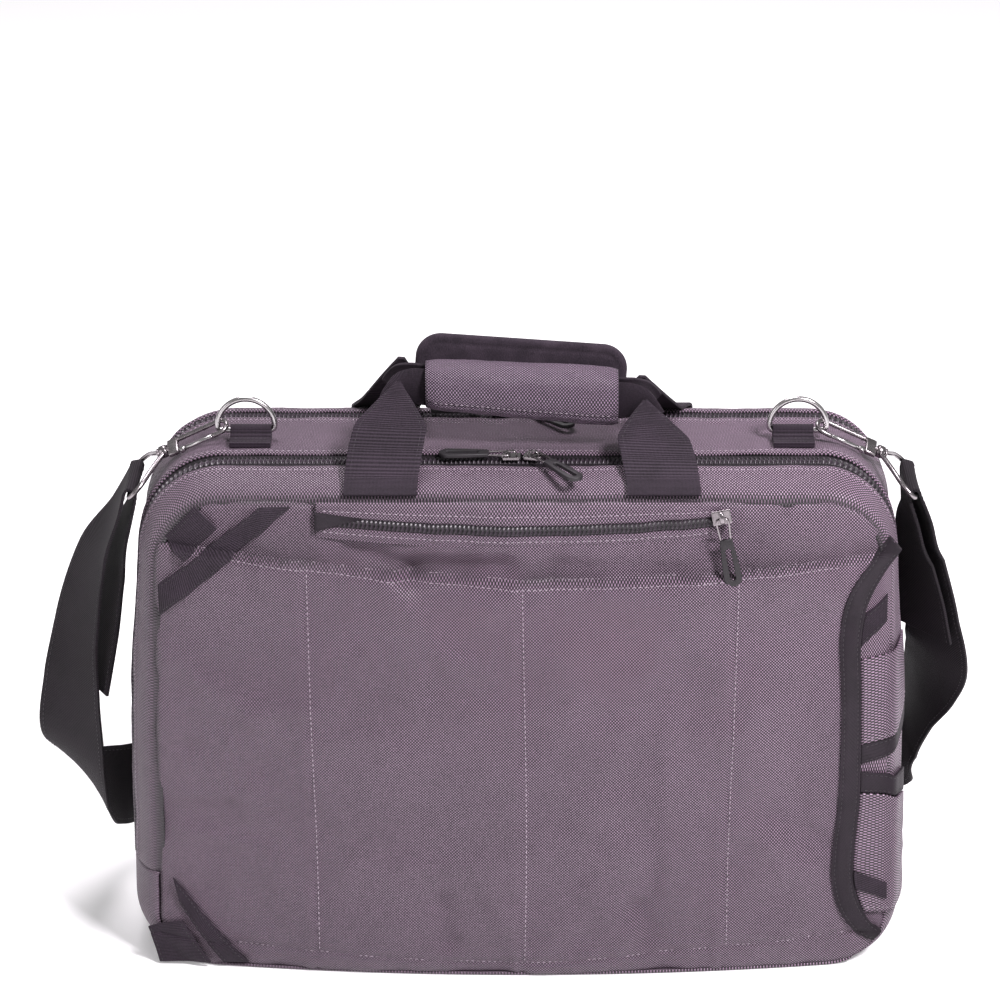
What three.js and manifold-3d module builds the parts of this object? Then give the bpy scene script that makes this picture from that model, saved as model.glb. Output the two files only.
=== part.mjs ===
// A grey laptop bag in its briefcase form: zipped body, carry handles, clipped-on shoulder strap.
// Millimetres. X runs to the right, Y to the back, Z up. The base stands on Z = 0.
import * as THREE from 'three';
import * as BufferGeometryUtils from 'three/addons/utils/BufferGeometryUtils.js';
import Module from 'manifold-3d';

const wasm = await Module();
wasm.setup();

// Driving sizes of the body
const bag = { width: 428, height: 304, depth: 140, wall: 2, flare: 0.036 };
const corner = { top: 41, bottom: 34 };
const crown = { top: 14, backRise: 4, leftLow: 17.5, leftHigh: 11, rightLow: 11, rightHigh: 5.5 };
const bulge = { front: 17, back: 8 };
const gap = 0.3;
const zip = { width: 14, fromFront: 25, fromBack: 34, thickness: 1.6, endHeight: 62 };

// Driving sizes of the trim and straps
const trim = { thickness: 1.5, lift: 0.3, sideLift: 0.6, step: 0.6 };
const pocket = { zipHeight: 7, thickness: 1.6, sag: 5.5, below: 7.5 };
const pocketShare = { left: -0.555, right: 0.535 };
const binding = { width: 13, proud: 1.2, gap: 0.3 };
const strap = { width: 50, thickness: 1.6 };
const handle = { width: 42, thickness: 2, centre: 82, spread: 5 };
const grip = { length: 112, height: 34, depth: 27, wall: 2.5, centreY: -20, above: 49, drop: 8 };
const flap = { length: 124, height: 24, thickness: 4, corner: 15, above: 10, shift: -1 };

// Driving sizes of the hardware
const ring = { inner: 30, wire: 3.4, bend: 2.5, inset: 52, above: 21.5, y: -10 };
const tab = { width: 24, offset: 2.7, front: -24, heel: 4.5, thickness: 1.4 };
const hook = {
  wire: 2.8, spread: 10.6, length: 39, block: 7.4, nose: 9.5, post: 3.6, head: 6.4, headLength: 1.6,
  shoulder: 0.3, reach: 5, slope: 25, roll: 20,
};
const gate = { wire: 2.6, knuckle: 3.8 };
const loop = {
  wire: 3, width: 56, reach: 27, collar: 7.6, collarLength: 4.6, neck: 3, straight: 6, bend: 2.5,
  slope: 45, side: 1,
};
const slider = { length: 11, width: 8.5, base: 2.2, bridge: 7.5, bridgeWidth: 2.2, opening: 2, wall: 1 };
const pull = {
  length: 29, width: 10.5, tip: 7.4, thickness: 2.4, slot: 3.2, prong: 1.3, prongLength: 12,
  spread: 6.7, play: 1.1,
};

// How far pieces of one solid run into each other
const joined = 1;

// Black binding round the D-shaped cut, as shares of the bag's half-width and height and of the
// binding's width
const cutEdge = [
  { x: 0.995, z: 0.922, width: 0.69 },
  { x: 0.927, z: 0.864, width: 0.92 },
  { x: 0.884, z: 0.804, width: 1.00 },
  { x: 0.869, z: 0.721, width: 0.96 },
  { x: 0.878, z: 0.594, width: 0.92 },
  { x: 0.881, z: 0.376, width: 1.00 },
  { x: 0.870, z: 0.267, width: 1.04 },
  { x: 0.871, z: 0.200, width: 1.04 },
  { x: 0.897, z: 0.130, width: 1.00 },
  { x: 0.953, z: 0.073, width: 0.85 },
  { x: 1.000, z: 0.052, width: 0.69 },
];

// Bands inside the D: heights as shares of the bag's height at the binding, the seam and the front zip,
// layer counts the steps of trim.step that a band stands proud
const sideLayers = [
  { name: 'side_flap', low: [0.492, 0.512, 0.570], high: [0.672, 0.694, 0.700], layer: 0, reach: 2 },
  { name: 'side_flap_binding', low: [0.449, 0.473, 0.522], high: [0.49, 0.51, 0.568], layer: 0, reach: 2 },
  { name: 'side_pocket_binding', low: [0.389, 0.378, 0.352], high: [0.432, 0.42, 0.403], layer: 1, reach: 2 },
  { name: 'side_pocket', low: [0.120, 0.120, 0.130], high: [0.386, 0.375, 0.349], layer: 1, reach: 2 },
  { name: 'side_band_high', low: [0.700, 0.752, 0.770], high: [0.767, 0.810, 0.830], layer: 0, reach: 1 },
];
const lowBand = { low: [0.178, 0.150], high: [0.217, 0.186] };

// Webbing on the front's left corners: the four corners of each piece, as shares of half-width and height
const cornerPieces = [
  {
    name: 'corner_strap_top',
    columns: 8,
    rows: 2,
    quad: [[-0.705, 0.992], [-0.990, 0.832], [-0.990, 0.765], [-0.622, 0.992]],
  },
  {
    name: 'corner_tab_top',
    columns: 6,
    rows: 2,
    quad: [[-0.882, 0.990], [-0.968, 0.925], [-0.916, 0.884], [-0.822, 0.948]],
  },
  {
    name: 'corner_strap_bottom',
    columns: 8,
    rows: 2,
    quad: [[-0.985, 0.200], [-0.777, 0.016], [-0.849, 0.012], [-0.970, 0.146]],
  },
  {
    name: 'corner_tab_bottom',
    columns: 5,
    rows: 5,
    quad: [[-0.962, 0.108], [-0.885, 0.012], [-1.034, 0.006], [-1.062, 0.086]],
  },
];

// Shoulder strap sections, from one loop to the other, as shares of half-width, half-depth and height
const strapLeftInner = [
  { x: -1.231, y: -0.129, z: 0.541, across: [-0.57, 0.82, -0.04] },
  { x: -1.193, y: -0.121, z: 0.655, across: [-0.53, 0.85, -0.06] },
  { x: -1.148, y: -0.093, z: 0.787, across: [-0.40, 0.91, -0.06] },
  { x: -1.096, y: -0.129, z: 0.888, across: [-0.12, 0.99, 0.00] },
];
const strapLeftOuter = [
  { x: -1.128, y: -0.129, z: 0.900, across: [-0.12, 0.99, 0.00] },
  { x: -1.200, y: -0.100, z: 0.800, across: [-0.44, 0.88, -0.15] },
  { x: -1.252, y: -0.130, z: 0.658, across: [-0.58, 0.80, -0.10] },
  { x: -1.275, y: -0.164, z: 0.531, across: [-0.72, 0.68, -0.10] },
  { x: -1.287, y: -0.036, z: 0.370, across: [-0.78, 0.42, 0.45] },
  { x: -1.250, y: 0.407, z: 0.251, across: [-0.51, 0.24, 0.83] },
  { x: -1.189, y: 0.860, z: 0.190, across: [-0.18, 0.16, 0.97] },
  { x: -1.110, y: 1.200, z: 0.165, across: [-0.02, 0.04, 1.00] },
];
const strapBehind = [
  { x: -0.900, y: 1.245, z: 0.170, across: [0.00, 0.00, 1.00] },
  { x: 0.000, y: 1.221, z: 0.190, across: [0.00, 0.00, 1.00] },
  { x: 0.900, y: 1.245, z: 0.212, across: [0.00, 0.00, 1.00] },
];
const strapRightOuter = [
  { x: 1.085, y: 1.214, z: 0.226, across: [0.02, 0.04, 1.00] },
  { x: 1.133, y: 1.000, z: 0.314, across: [-0.08, 0.36, 0.93] },
  { x: 1.152, y: 0.686, z: 0.414, across: [-0.31, 0.74, 0.60] },
  { x: 1.175, y: 0.336, z: 0.505, across: [-0.56, 0.76, 0.33] },
  { x: 1.177, y: 0.050, z: 0.590, across: [-0.64, 0.76, 0.02] },
  { x: 1.154, y: -0.020, z: 0.686, across: [-0.55, 0.83, 0.00] },
  { x: 1.122, y: -0.040, z: 0.822, across: [-0.38, 0.92, 0.00] },
  { x: 1.112, y: -0.125, z: 0.898, across: [-0.14, 0.99, 0.00] },
];
const strapRightInner = [
  { x: 1.084, y: -0.125, z: 0.884, across: [-0.12, 0.99, 0.00] },
  { x: 1.100, y: -0.040, z: 0.812, across: [-0.34, 0.94, 0.00] },
  { x: 1.128, y: -0.020, z: 0.686, across: [-0.52, 0.85, 0.00] },
  { x: 1.138, y: 0.000, z: 0.630, across: [-0.58, 0.81, 0.00] },
];

// One half of a handle, from its foot in the seam to the middle of the grip. x and width are shares of
// the handle's own centre and width, side is the share of the depth from the grip's centre to the seam,
// rise the share of the height from the body's top to the grip's centre, clear the least gap to the body,
// backIn how far the back handle's section stands further in.
const handleSections = [
  { x: 1, width: 1, side: 0.96, rise: 0.02, clear: 0.6, backIn: 0, across: [1, 0, 0] },
  { x: 1, width: 1, side: 0.9, rise: 0.06, clear: 1.4, backIn: 0, across: [1, 0, 0] },
  { x: 1, width: 1, side: 0.8, rise: 0.16, clear: 1.4, backIn: 0, across: [1, 0, 0] },
  { x: 0.98, width: 1, side: 0.6, rise: 0.42, clear: 1.4, backIn: 0, across: [1, 0, 0] },
  { x: 0.94, width: 0.95, side: 0.45, rise: 0.64, clear: 1.4, backIn: 0, across: [1, 0, 0] },
  { x: 0.9, width: 0.78, side: 0.33, rise: 0.84, clear: 1.4, backIn: -0.01, across: [1, 0, -0.05] },
  { x: 0.87, width: 0.42, side: 0.22, rise: 1.02, clear: 1.4, backIn: -0.03, across: [0.95, 0, -0.3] },
  { x: 0.83, width: 0.32, side: 0.15, rise: 1.08, clear: 1.4, backIn: -0.03, across: [0.5, 0, -0.87] },
  { x: 0.77, width: 0.42, side: 0.09, rise: 1.05, clear: 1.4, backIn: 0, across: [0.08, 0, -1] },
  { x: 0.7, width: 0.5, side: 0.05, rise: 1, clear: 1.4, backIn: 0, across: [0, 0, -1] },
  { x: 0.5, width: 0.52, side: 0.05, rise: 1, clear: 1.4, backIn: 0, across: [0, 0, -1] },
  { x: 0, width: 0.52, side: 0.05, rise: 1, clear: 1.4, backIn: 0, across: [0, 0, -1] },
];

const halfWidth = bag.width / 2;
const halfDepth = bag.depth / 2;
const ringX = halfWidth - ring.inset;
const ringBar = bag.height + ring.above;
const gripZ = bag.height + grip.above;

const finishes = {
  fabric: { color: 0x756c76, roughness: 0.85, metalness: 0 },
  webbing: { color: 0x2a262c, roughness: 0.8, metalness: 0 },
  coil: { color: 0x1f1c21, roughness: 0.6, metalness: 0 },
  rubber: { color: 0x1c1a1e, roughness: 0.5, metalness: 0 },
  metal: { color: 0x8b888c, roughness: 0.3, metalness: 1 },
};

const group = new THREE.Group();

function add(name, geometry, finish) {
  const mesh = new THREE.Mesh(geometry, new THREE.MeshStandardMaterial(finishes[finish]));
  mesh.name = name;
  group.add(mesh);
}

// Closed solids from rings of points

function signedVolume(positions, index) {
  const [a, b, c] = [new THREE.Vector3(), new THREE.Vector3(), new THREE.Vector3()];
  let volume = 0;
  for (let i = 0; i < index.length; i += 3) {
    a.fromArray(positions, index[i] * 3);
    b.fromArray(positions, index[i + 1] * 3);
    c.fromArray(positions, index[i + 2] * 3);
    volume += a.dot(b.cross(c)) / 6;
  }
  return volume;
}

function indexedGeometry(positions, index) {
  if (signedVolume(positions, index) < 0) {
    index.reverse();
  }
  const geometry = new THREE.BufferGeometry();
  geometry.setAttribute('position', new THREE.Float32BufferAttribute(positions, 3));
  geometry.setIndex(index);
  return geometry;
}

function middleOf(points) {
  const sum = points.reduce((total, p) => total.map((value, k) => value + p[k]), [0, 0, 0]);
  return sum.map((value) => value / points.length);
}

// Skins a row of closed rings. Ends are closed by a fan, or by a strip where the ring is a thin section,
// or the last ring meets the first.
function ringSolid(rings, ends) {
  const n = rings[0].length;
  const positions = rings.flat(2);
  const index = [];
  const at = (i, j) => (i % rings.length) * n + (j % n);
  const spans = ends === 'loop' ? rings.length : rings.length - 1;
  for (let i = 0; i < spans; i += 1) {
    for (let j = 0; j < n; j += 1) {
      index.push(at(i, j), at(i + 1, j), at(i + 1, j + 1));
      index.push(at(i, j), at(i + 1, j + 1), at(i, j + 1));
    }
  }
  const last = rings.length - 1;
  if (ends === 'fan') {
    const first = positions.length / 3;
    positions.push(...middleOf(rings[0]), ...middleOf(rings[last]));
    for (let j = 0; j < n; j += 1) {
      index.push(first, at(0, j), at(0, j + 1));
      index.push(first + 1, at(last, j + 1), at(last, j));
    }
  }
  if (ends === 'strip') {
    for (let k = 0; k < n / 2 - 1; k += 1) {
      const m = n - 1 - k;
      index.push(at(0, k), at(0, k + 1), at(0, m - 1), at(0, k), at(0, m - 1), at(0, m));
      index.push(at(last, k), at(last, m - 1), at(last, k + 1), at(last, k), at(last, m), at(last, m - 1));
    }
  }
  return indexedGeometry(positions, index);
}

function sheetSolid(outer, inner) {
  const rings = outer.map((row, i) => [...row, ...inner[i].slice().reverse()]);
  return ringSolid(rings, 'strip');
}

// Unions and cuts

function mergedCopy(geometry) {
  const bare = geometry.clone();
  bare.deleteAttribute('normal');
  bare.deleteAttribute('uv');
  return BufferGeometryUtils.mergeVertices(bare, 1e-4);
}

function toManifold(geometry) {
  const merged = mergedCopy(geometry);
  const mesh = new wasm.Mesh({
    numProp: 3,
    vertProperties: new Float32Array(merged.attributes.position.array),
    triVerts: new Uint32Array(merged.index.array),
  });
  return new wasm.Manifold(mesh);
}

function fromManifold(manifold) {
  const mesh = manifold.getMesh();
  const geometry = new THREE.BufferGeometry();
  geometry.setAttribute('position', new THREE.Float32BufferAttribute(mesh.vertProperties, 3));
  geometry.setIndex(Array.from(mesh.triVerts));
  return geometry;
}

function union(...geometries) {
  return fromManifold(geometries.map(toManifold).reduce((total, next) => total.add(next)));
}

function cut(geometry, tool) {
  return fromManifold(toManifold(geometry).subtract(toManifold(tool)));
}

function common(geometry, tool) {
  return fromManifold(toManifold(geometry).intersect(toManifold(tool)));
}

function mirrored(geometry) {
  const copy = mergedCopy(geometry).scale(-1, 1, 1);
  const index = Array.from(copy.index.array).reverse();
  copy.setIndex(index);
  return copy;
}

// The body's surface

function arcPiece(radius, centreX, centreZ, fromAngle) {
  const at = (share) => {
    const angle = fromAngle - share * Math.PI / 2;
    const [nx, nz] = [Math.cos(angle), Math.sin(angle)];
    return { x: centreX + radius * nx, z: centreZ + radius * nz, nx, nz };
  };
  return { length: radius * Math.PI / 2, parts: 6, at };
}

function linePiece(x0, z0, x1, z1, nx, nz, parts) {
  const at = (share) => ({ x: x0 + (x1 - x0) * share, z: z0 + (z1 - z0) * share, nx, nz });
  return { length: Math.hypot(x1 - x0, z1 - z0), parts, at };
}

// The seam between the front and the gussets, clockwise from the middle of the base
const low = corner.bottom;
const high = bag.height - corner.top;
const seamPieces = [
  linePiece(0, 0, -(halfWidth - low), 0, 0, -1, 3),
  arcPiece(low, -(halfWidth - low), low, -Math.PI / 2),
  linePiece(-halfWidth, low, -halfWidth, high, -1, 0, 5),
  arcPiece(corner.top, -(halfWidth - corner.top), high, Math.PI),
  linePiece(-(halfWidth - corner.top), bag.height, halfWidth - corner.top, bag.height, 0, 1, 6),
  arcPiece(corner.top, halfWidth - corner.top, high, Math.PI / 2),
  linePiece(halfWidth, high, halfWidth, low, 1, 0, 5),
  arcPiece(low, halfWidth - low, low, 0),
  linePiece(halfWidth - low, 0, 0, 0, 0, -1, 3),
];
const seamLength = seamPieces.reduce((total, piece) => total + piece.length, 0);

function seamAt(distance) {
  let left = THREE.MathUtils.clamp(distance, 0, seamLength);
  for (const piece of seamPieces) {
    if (left <= piece.length + 1e-9) {
      const point = piece.at(left / piece.length);
      point.x *= 1 + bag.flare * (1 - point.z / bag.height);
      return point;
    }
    left -= piece.length;
  }
  return seamPieces[0].at(0);
}

// Distances along the seam between two ends, closer together round the corners
function seamStations(from, to) {
  const shortest = bag.wall;
  const stations = [from];
  let start = 0;
  for (const piece of seamPieces) {
    for (let i = 0; i < piece.parts; i += 1) {
      const distance = start + (piece.length * i) / piece.parts;
      if (distance > from + shortest && distance < to - shortest) {
        stations.push(distance);
      }
    }
    start += piece.length;
  }
  stations.push(to);
  return stations;
}

function smooth(from, to, value) {
  return THREE.MathUtils.smoothstep(value, from, to);
}

// The top rises a little more towards the back
function topCrown(y) {
  return crown.top + crown.backRise * THREE.MathUtils.clamp(0.5 + y / bag.depth, 0, 1);
}

function crownAt(seam, y) {
  const share = smooth(0.55, 0.9, seam.z / bag.height);
  const left = THREE.MathUtils.lerp(crown.leftLow, crown.leftHigh, share);
  const right = THREE.MathUtils.lerp(crown.rightLow, crown.rightHigh, share);
  const side = seam.nx < 0 ? left : right;
  return side * seam.nx ** 2 + topCrown(y) * Math.max(0, seam.nz) ** 2;
}

function bodyPoint(distance, y, lift) {
  const seam = seamAt(distance);
  const t = Math.min(1, Math.abs(y) / halfDepth);
  const rise = crownAt(seam, y) * (1 - t ** 4) + lift;
  return [seam.x + seam.nx * rise, y, seam.z + seam.nz * rise];
}

function bulgeAt(x, z) {
  const across = Math.max(0, 1 - (x / halfWidth) ** 2);
  const up = THREE.MathUtils.clamp(z / bag.height, 0, 1);
  return across * (1 - up ** 2) * (1 + 0.9 * up);
}

function frontY(x, z) {
  return -(halfDepth + bulge.front * bulgeAt(x, z));
}

function backY(x, z) {
  return halfDepth + bulge.back * bulgeAt(x, z);
}

// Height of the crowned top at a depth, away from the corners
function topZ(y) {
  return bag.height + topCrown(y) * (1 - Math.min(1, Math.abs(y) / halfDepth) ** 4);
}

// Bands of the body

const sideStart = halfWidth - low + seamPieces[1].length;
const zipStart = sideStart + zip.endHeight - low;
const zipEnd = seamLength - zipStart;
const edgeDepth = bag.wall + gap;
const frontZipY = -halfDepth + zip.fromFront;
const backZipY = halfDepth - zip.fromBack - zip.width;

// A band between two depths. The depths are functions of the seam's point, so an edge can follow a panel.
function bodyBand(from, to, frontEdge, backEdge, lift, thickness, rows) {
  const stations = seamStations(from, to);
  const rowAt = (distance, level) => {
    const seam = seamAt(distance);
    const [y0, y1] = [frontEdge(seam), backEdge(seam)];
    return rows.map((share) => bodyPoint(distance, y0 + (y1 - y0) * share, level));
  };
  const outer = stations.map((distance) => rowAt(distance, lift));
  const inner = stations.map((distance) => rowAt(distance, lift - thickness));
  return sheetSolid(outer, inner);
}

const atFront = (seam) => frontY(seam.x, seam.z) + edgeDepth;
const atBack = (seam) => backY(seam.x, seam.z) - edgeDepth;
const depthAt = (y) => () => y;
const gussetRows = [0, 0.35, 0.7, 1];

function addBands() {
  const [start, end] = [zipStart + gap / 2, zipEnd - gap / 2];
  const middleFront = depthAt(frontZipY + zip.width + gap);
  const bands = [
    { name: 'front_gusset', from: atFront, to: depthAt(frontZipY - gap), rows: gussetRows },
    { name: 'middle_gusset', from: middleFront, to: depthAt(backZipY - gap), rows: [0, 0.5, 1] },
    { name: 'back_gusset', from: depthAt(backZipY + zip.width + gap), to: atBack, rows: gussetRows },
  ];
  for (const band of bands) {
    add(band.name, bodyBand(start, end, band.from, band.to, 0, bag.wall, band.rows), 'fabric');
  }
  const zips = [['front_zip', frontZipY], ['back_zip', backZipY]];
  for (const [name, y] of zips) {
    const band = bodyBand(start, end, depthAt(y), depthAt(y + zip.width), 0, zip.thickness, [0, 1]);
    add(name, band, 'coil');
  }
  add('bottom_gusset', bottomGusset(), 'fabric');
}

// The base: from the left ends of the zips down, under the bag and up to their right ends
function bottomGusset() {
  const left = seamStations(0, zipStart - gap / 2).reverse();
  const right = seamStations(zipEnd + gap / 2, seamLength).reverse().slice(1);
  const rows = [0, 0.1, 0.3, 0.5, 0.7, 0.9, 1];
  const rowAt = (distance, level) => {
    const seam = seamAt(distance);
    const [y0, y1] = [atFront(seam), atBack(seam)];
    return rows.map((share) => bodyPoint(distance, y0 + (y1 - y0) * share, level));
  };
  const path = [...left, ...right];
  const outer = path.map((distance) => rowAt(distance, 0));
  const inner = path.map((distance) => rowAt(distance, -bag.wall));
  return sheetSolid(outer, inner);
}

// Front and back panels

// A panel in rings shrunk towards its middle, between two depths behind its face
function panel(face, inset, near, far, scales) {
  const stations = seamStations(0, seamLength).slice(0, -1);
  const ringAt = (scale, back) => stations.map((distance) => {
    const seam = seamAt(distance);
    const x = (seam.x - seam.nx * inset) * scale;
    const middle = bag.height / 2;
    const z = middle + (seam.z - seam.nz * inset - middle) * scale;
    return [x, face(x, z) + back, z];
  });
  const outer = scales.map((scale) => ringAt(scale, near));
  const inner = scales.map((scale) => ringAt(scale, far)).reverse();
  return ringSolid([...outer, ...inner], 'fan');
}

function curveThrough(rows, pick) {
  const points = rows.map((row) => new THREE.Vector3(...pick(row)));
  return new THREE.CatmullRomCurve3(points, false, 'centripetal');
}

// The cut's edge and the width of its binding, sampled evenly
function cutSamples(count) {
  const edge = curveThrough(cutEdge, (row) => [row.x * halfWidth, 0, row.z * bag.height]);
  const widths = curveThrough(cutEdge, (row) => [row.width * binding.width, 0, 0]);
  return Array.from({ length: count + 1 }, (_, i) => {
    const t = i / count;
    const point = edge.getPoint(t);
    const along = edge.getTangent(t);
    return { x: point.x, z: point.z, towardX: -along.z, towardZ: along.x, width: widths.getPoint(t).x };
  });
}

// A prism along Y over the D, whose straight side lies well outside the bag
function cutPrism(shift) {
  const samples = cutSamples(32);
  const shape = new THREE.Shape();
  const beyond = bag.width;
  shape.moveTo(beyond, samples[0].z + shift);
  for (const sample of samples) {
    shape.lineTo(sample.x - sample.towardX * shift, sample.z - sample.towardZ * shift);
  }
  shape.lineTo(beyond, samples[samples.length - 1].z - shift);
  shape.closePath();
  const prism = new THREE.ExtrudeGeometry(shape, { depth: bag.depth, bevelEnabled: false });
  return prism.rotateX(Math.PI / 2);
}

function edgeBinding() {
  const shares = [0, 0.5, 1];
  const rowAt = (sample, back) => shares.map((share) => {
    const x = sample.x + sample.towardX * sample.width * share;
    const z = sample.z + sample.towardZ * sample.width * share;
    return [x, frontY(x, z) + back, z];
  });
  const samples = cutSamples(24);
  const outer = samples.map((sample) => rowAt(sample, -binding.proud));
  const inner = samples.map((sample) => rowAt(sample, bag.wall));
  return sheetSolid(outer, inner);
}

function addPanels() {
  const fine = [0.14, 0.34, 0.54, 0.72, 0.87, 0.96, 1];
  const coarse = [0.2, 0.5, 0.76, 0.93, 1];
  const front = panel(frontY, 0, 0, bag.wall, fine);
  add('front_panel', cut(front, cutPrism(binding.gap)), 'fabric');
  add('back_panel', panel(backY, 0, 0, -bag.wall, coarse), 'fabric');
  const inset = bag.wall + gap;
  const under = panel(frontY, inset, edgeDepth, edgeDepth + bag.wall, fine);
  add('corner_panel', common(under, cutPrism(binding.gap)), 'fabric');
  add('edge_binding', common(edgeBinding(), cutPrism(0)), 'webbing');
}

// Pieces laid on the front panel

// Four corners are given as shares of half-width and height. The sheet follows the panel's face.
function facePatch({ quad, columns, rows }, lift, thickness) {
  const corners = quad.map(([x, z]) => [x * halfWidth, z * bag.height]);
  const pointAt = (u, v, out) => {
    const top = [0, 1].map((k) => THREE.MathUtils.lerp(corners[0][k], corners[1][k], u));
    const bottom = [0, 1].map((k) => THREE.MathUtils.lerp(corners[3][k], corners[2][k], u));
    const [x, z] = [0, 1].map((k) => THREE.MathUtils.lerp(top[k], bottom[k], v));
    return [x, frontY(x, z) - out, z];
  };
  const grid = (out) => Array.from({ length: columns + 1 }, (_, i) => (
    Array.from({ length: rows + 1 }, (_, j) => pointAt(i / columns, j / rows, out))));
  return sheetSolid(grid(lift + thickness), grid(lift));
}

function addCornerPieces() {
  for (const piece of cornerPieces) {
    add(piece.name, facePatch(piece, trim.lift, trim.thickness), 'webbing');
  }
}

// Height of the pocket's zip, which sags towards the middle
function pocketZipTop(x) {
  const share = x / (pocketShare.right * halfWidth);
  return bag.height - pocket.below - pocket.sag * (1 - share ** 2);
}

function pocketStrip(topOf, bottomOf, lift, thickness) {
  const columns = 14;
  const rowAt = (share, out) => {
    const x = THREE.MathUtils.lerp(pocketShare.left, pocketShare.right, share) * halfWidth;
    return [topOf(x), bottomOf(x)].map((z) => [x, frontY(x, z) - out, z]);
  };
  const shares = Array.from({ length: columns + 1 }, (_, i) => i / columns);
  const outer = shares.map((share) => rowAt(share, lift + thickness));
  const inner = shares.map((share) => rowAt(share, lift));
  return sheetSolid(outer, inner);
}

function addPocket() {
  const zipBottom = (x) => pocketZipTop(x) - pocket.zipHeight;
  const weltTop = () => bag.height - trim.lift;
  const weltBottom = (x) => pocketZipTop(x) + gap;
  add('pocket_zip', pocketStrip(pocketZipTop, zipBottom, trim.lift, pocket.thickness), 'coil');
  add('pocket_welt', pocketStrip(weltTop, weltBottom, trim.lift, pocket.thickness), 'fabric');
}

// Layers inside the D

// How much of its lift a layer has where it turns the edge
const turnShare = 0.8;

// A section across the right front edge at one height: from the binding round the seam to the front zip
function layerSection(z, out, reach) {
  const seam = seamAtHeight(z);
  const inner = innerBindingX(z) + binding.gap;
  const middle = seam.x - edgeDepth;
  const face = (x, back) => [x, frontY(x, z) + back - out, z];
  const near = [face(inner, bag.wall - trim.thickness), face(middle, bag.wall - trim.thickness)];
  const far = [face(inner, bag.wall), face(middle, bag.wall)];
  if (reach > 1) {
    const farLift = trim.sideLift + out;
    const nearLift = farLift + trim.thickness;
    const [front, back] = [atFront(seam), frontZipY - gap];
    const [edgeX] = bodyPoint(seam.distance, front, 0);
    near.push([edgeX + nearLift * turnShare, front - trim.thickness - gap, z]);
    far.push([edgeX + farLift, front - gap, z]);
    for (const share of gussetRows.slice(1)) {
      const y = THREE.MathUtils.lerp(front, back, share);
      near.push(bodyPoint(seam.distance, y, nearLift));
      far.push(bodyPoint(seam.distance, y, farLift));
    }
  }
  return { near, far };
}

// The seam's point on the right side at a height
function seamAtHeight(z) {
  let [from, to] = [seamLength / 2, seamLength];
  for (let i = 0; i < 40; i += 1) {
    const middle = (from + to) / 2;
    if (seamAt(middle).z > z) {
      from = middle;
    } else {
      to = middle;
    }
  }
  return { ...seamAt(from), distance: from };
}

// The binding's edge inside the D at a height
function innerBindingX(z) {
  const inside = cutSamples(60).map((s) => [s.x + s.towardX * s.width, s.z + s.towardZ * s.width]);
  for (let i = 1; i < inside.length; i += 1) {
    const [[x0, z0], [x1, z1]] = [inside[i - 1], inside[i]];
    if (z <= z0 && z >= z1) {
      return x0 + (x1 - x0) * ((z0 - z) / Math.max(1e-6, z0 - z1));
    }
  }
  return inside[0][0];
}

// Heights given at the binding, the seam and the front zip are read at each point of the section
function heightsAlong(values, count, reach) {
  return Array.from({ length: count }, (_, k) => {
    if (reach === 1) {
      return THREE.MathUtils.lerp(values[0], values[1], k / (count - 1));
    }
    if (k <= 2) {
      return THREE.MathUtils.lerp(values[0], values[1], k / 2);
    }
    return THREE.MathUtils.lerp(values[1], values[2], (k - 2) / (count - 3));
  });
}

function sideLayer(layer) {
  const count = layer.reach > 1 ? 6 : 2;
  const lows = heightsAlong(layer.low, count, layer.reach);
  const highs = heightsAlong(layer.high, count, layer.reach);
  const rows = 6;
  const outer = [];
  const inner = [];
  for (let i = 0; i <= rows; i += 1) {
    const share = i / rows;
    const [near, far] = [[], []];
    for (let k = 0; k < count; k += 1) {
      const z = THREE.MathUtils.lerp(lows[k], highs[k], share) * bag.height;
      const section = layerSection(z, layer.layer * trim.step, layer.reach);
      near.push(section.near[k]);
      far.push(section.far[k]);
    }
    outer.push(near);
    inner.push(far);
  }
  return sheetSolid(outer, inner);
}

function addSideLayers() {
  for (const layer of sideLayers) {
    const cloth = layer.name === 'side_flap' || layer.name === 'side_pocket';
    add(layer.name, sideLayer(layer), cloth ? 'fabric' : 'webbing');
  }
}

function addLowBand() {
  const rows = [lowBand.high, lowBand.low].map((pair) => pair.map((share, k) => {
    const z = share * bag.height;
    const x = k === 0 ? innerBindingX(z) + binding.gap : seamAtHeight(z).x;
    return [x, z];
  }));
  const lift = trim.step - bag.wall + trim.thickness + gap;
  const sheetAt = (out) => rows.map((row) => row.map(([x, z]) => [x, frontY(x, z) - out, z]));
  add('side_band_low', sheetSolid(sheetAt(lift + trim.thickness), sheetAt(lift)), 'webbing');
}

// Round wires and straps

// A wire through points of a plane, given in its own X and Y
function planeWire(points, diameter, sides, closed) {
  const n = points.length;
  const rings = points.map(([x, y], i) => {
    const before = points[closed ? (i + n - 1) % n : Math.max(0, i - 1)];
    const after = points[closed ? (i + 1) % n : Math.min(n - 1, i + 1)];
    const along = new THREE.Vector2(after[0] - before[0], after[1] - before[1]).normalize();
    return Array.from({ length: sides }, (_, j) => {
      const angle = (j * 2 * Math.PI) / sides;
      const [out, up] = [Math.cos(angle) * diameter / 2, Math.sin(angle) * diameter / 2];
      return [x - along.y * out, y + along.x * out, up];
    });
  });
  return ringSolid(rings, closed ? 'loop' : 'fan');
}

function arcPoints(x, y, radius, from, to, steps) {
  return Array.from({ length: steps + 1 }, (_, i) => {
    const angle = THREE.MathUtils.degToRad(from + ((to - from) * i) / steps);
    return [x + radius * Math.cos(angle), y + radius * Math.sin(angle)];
  });
}

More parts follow.
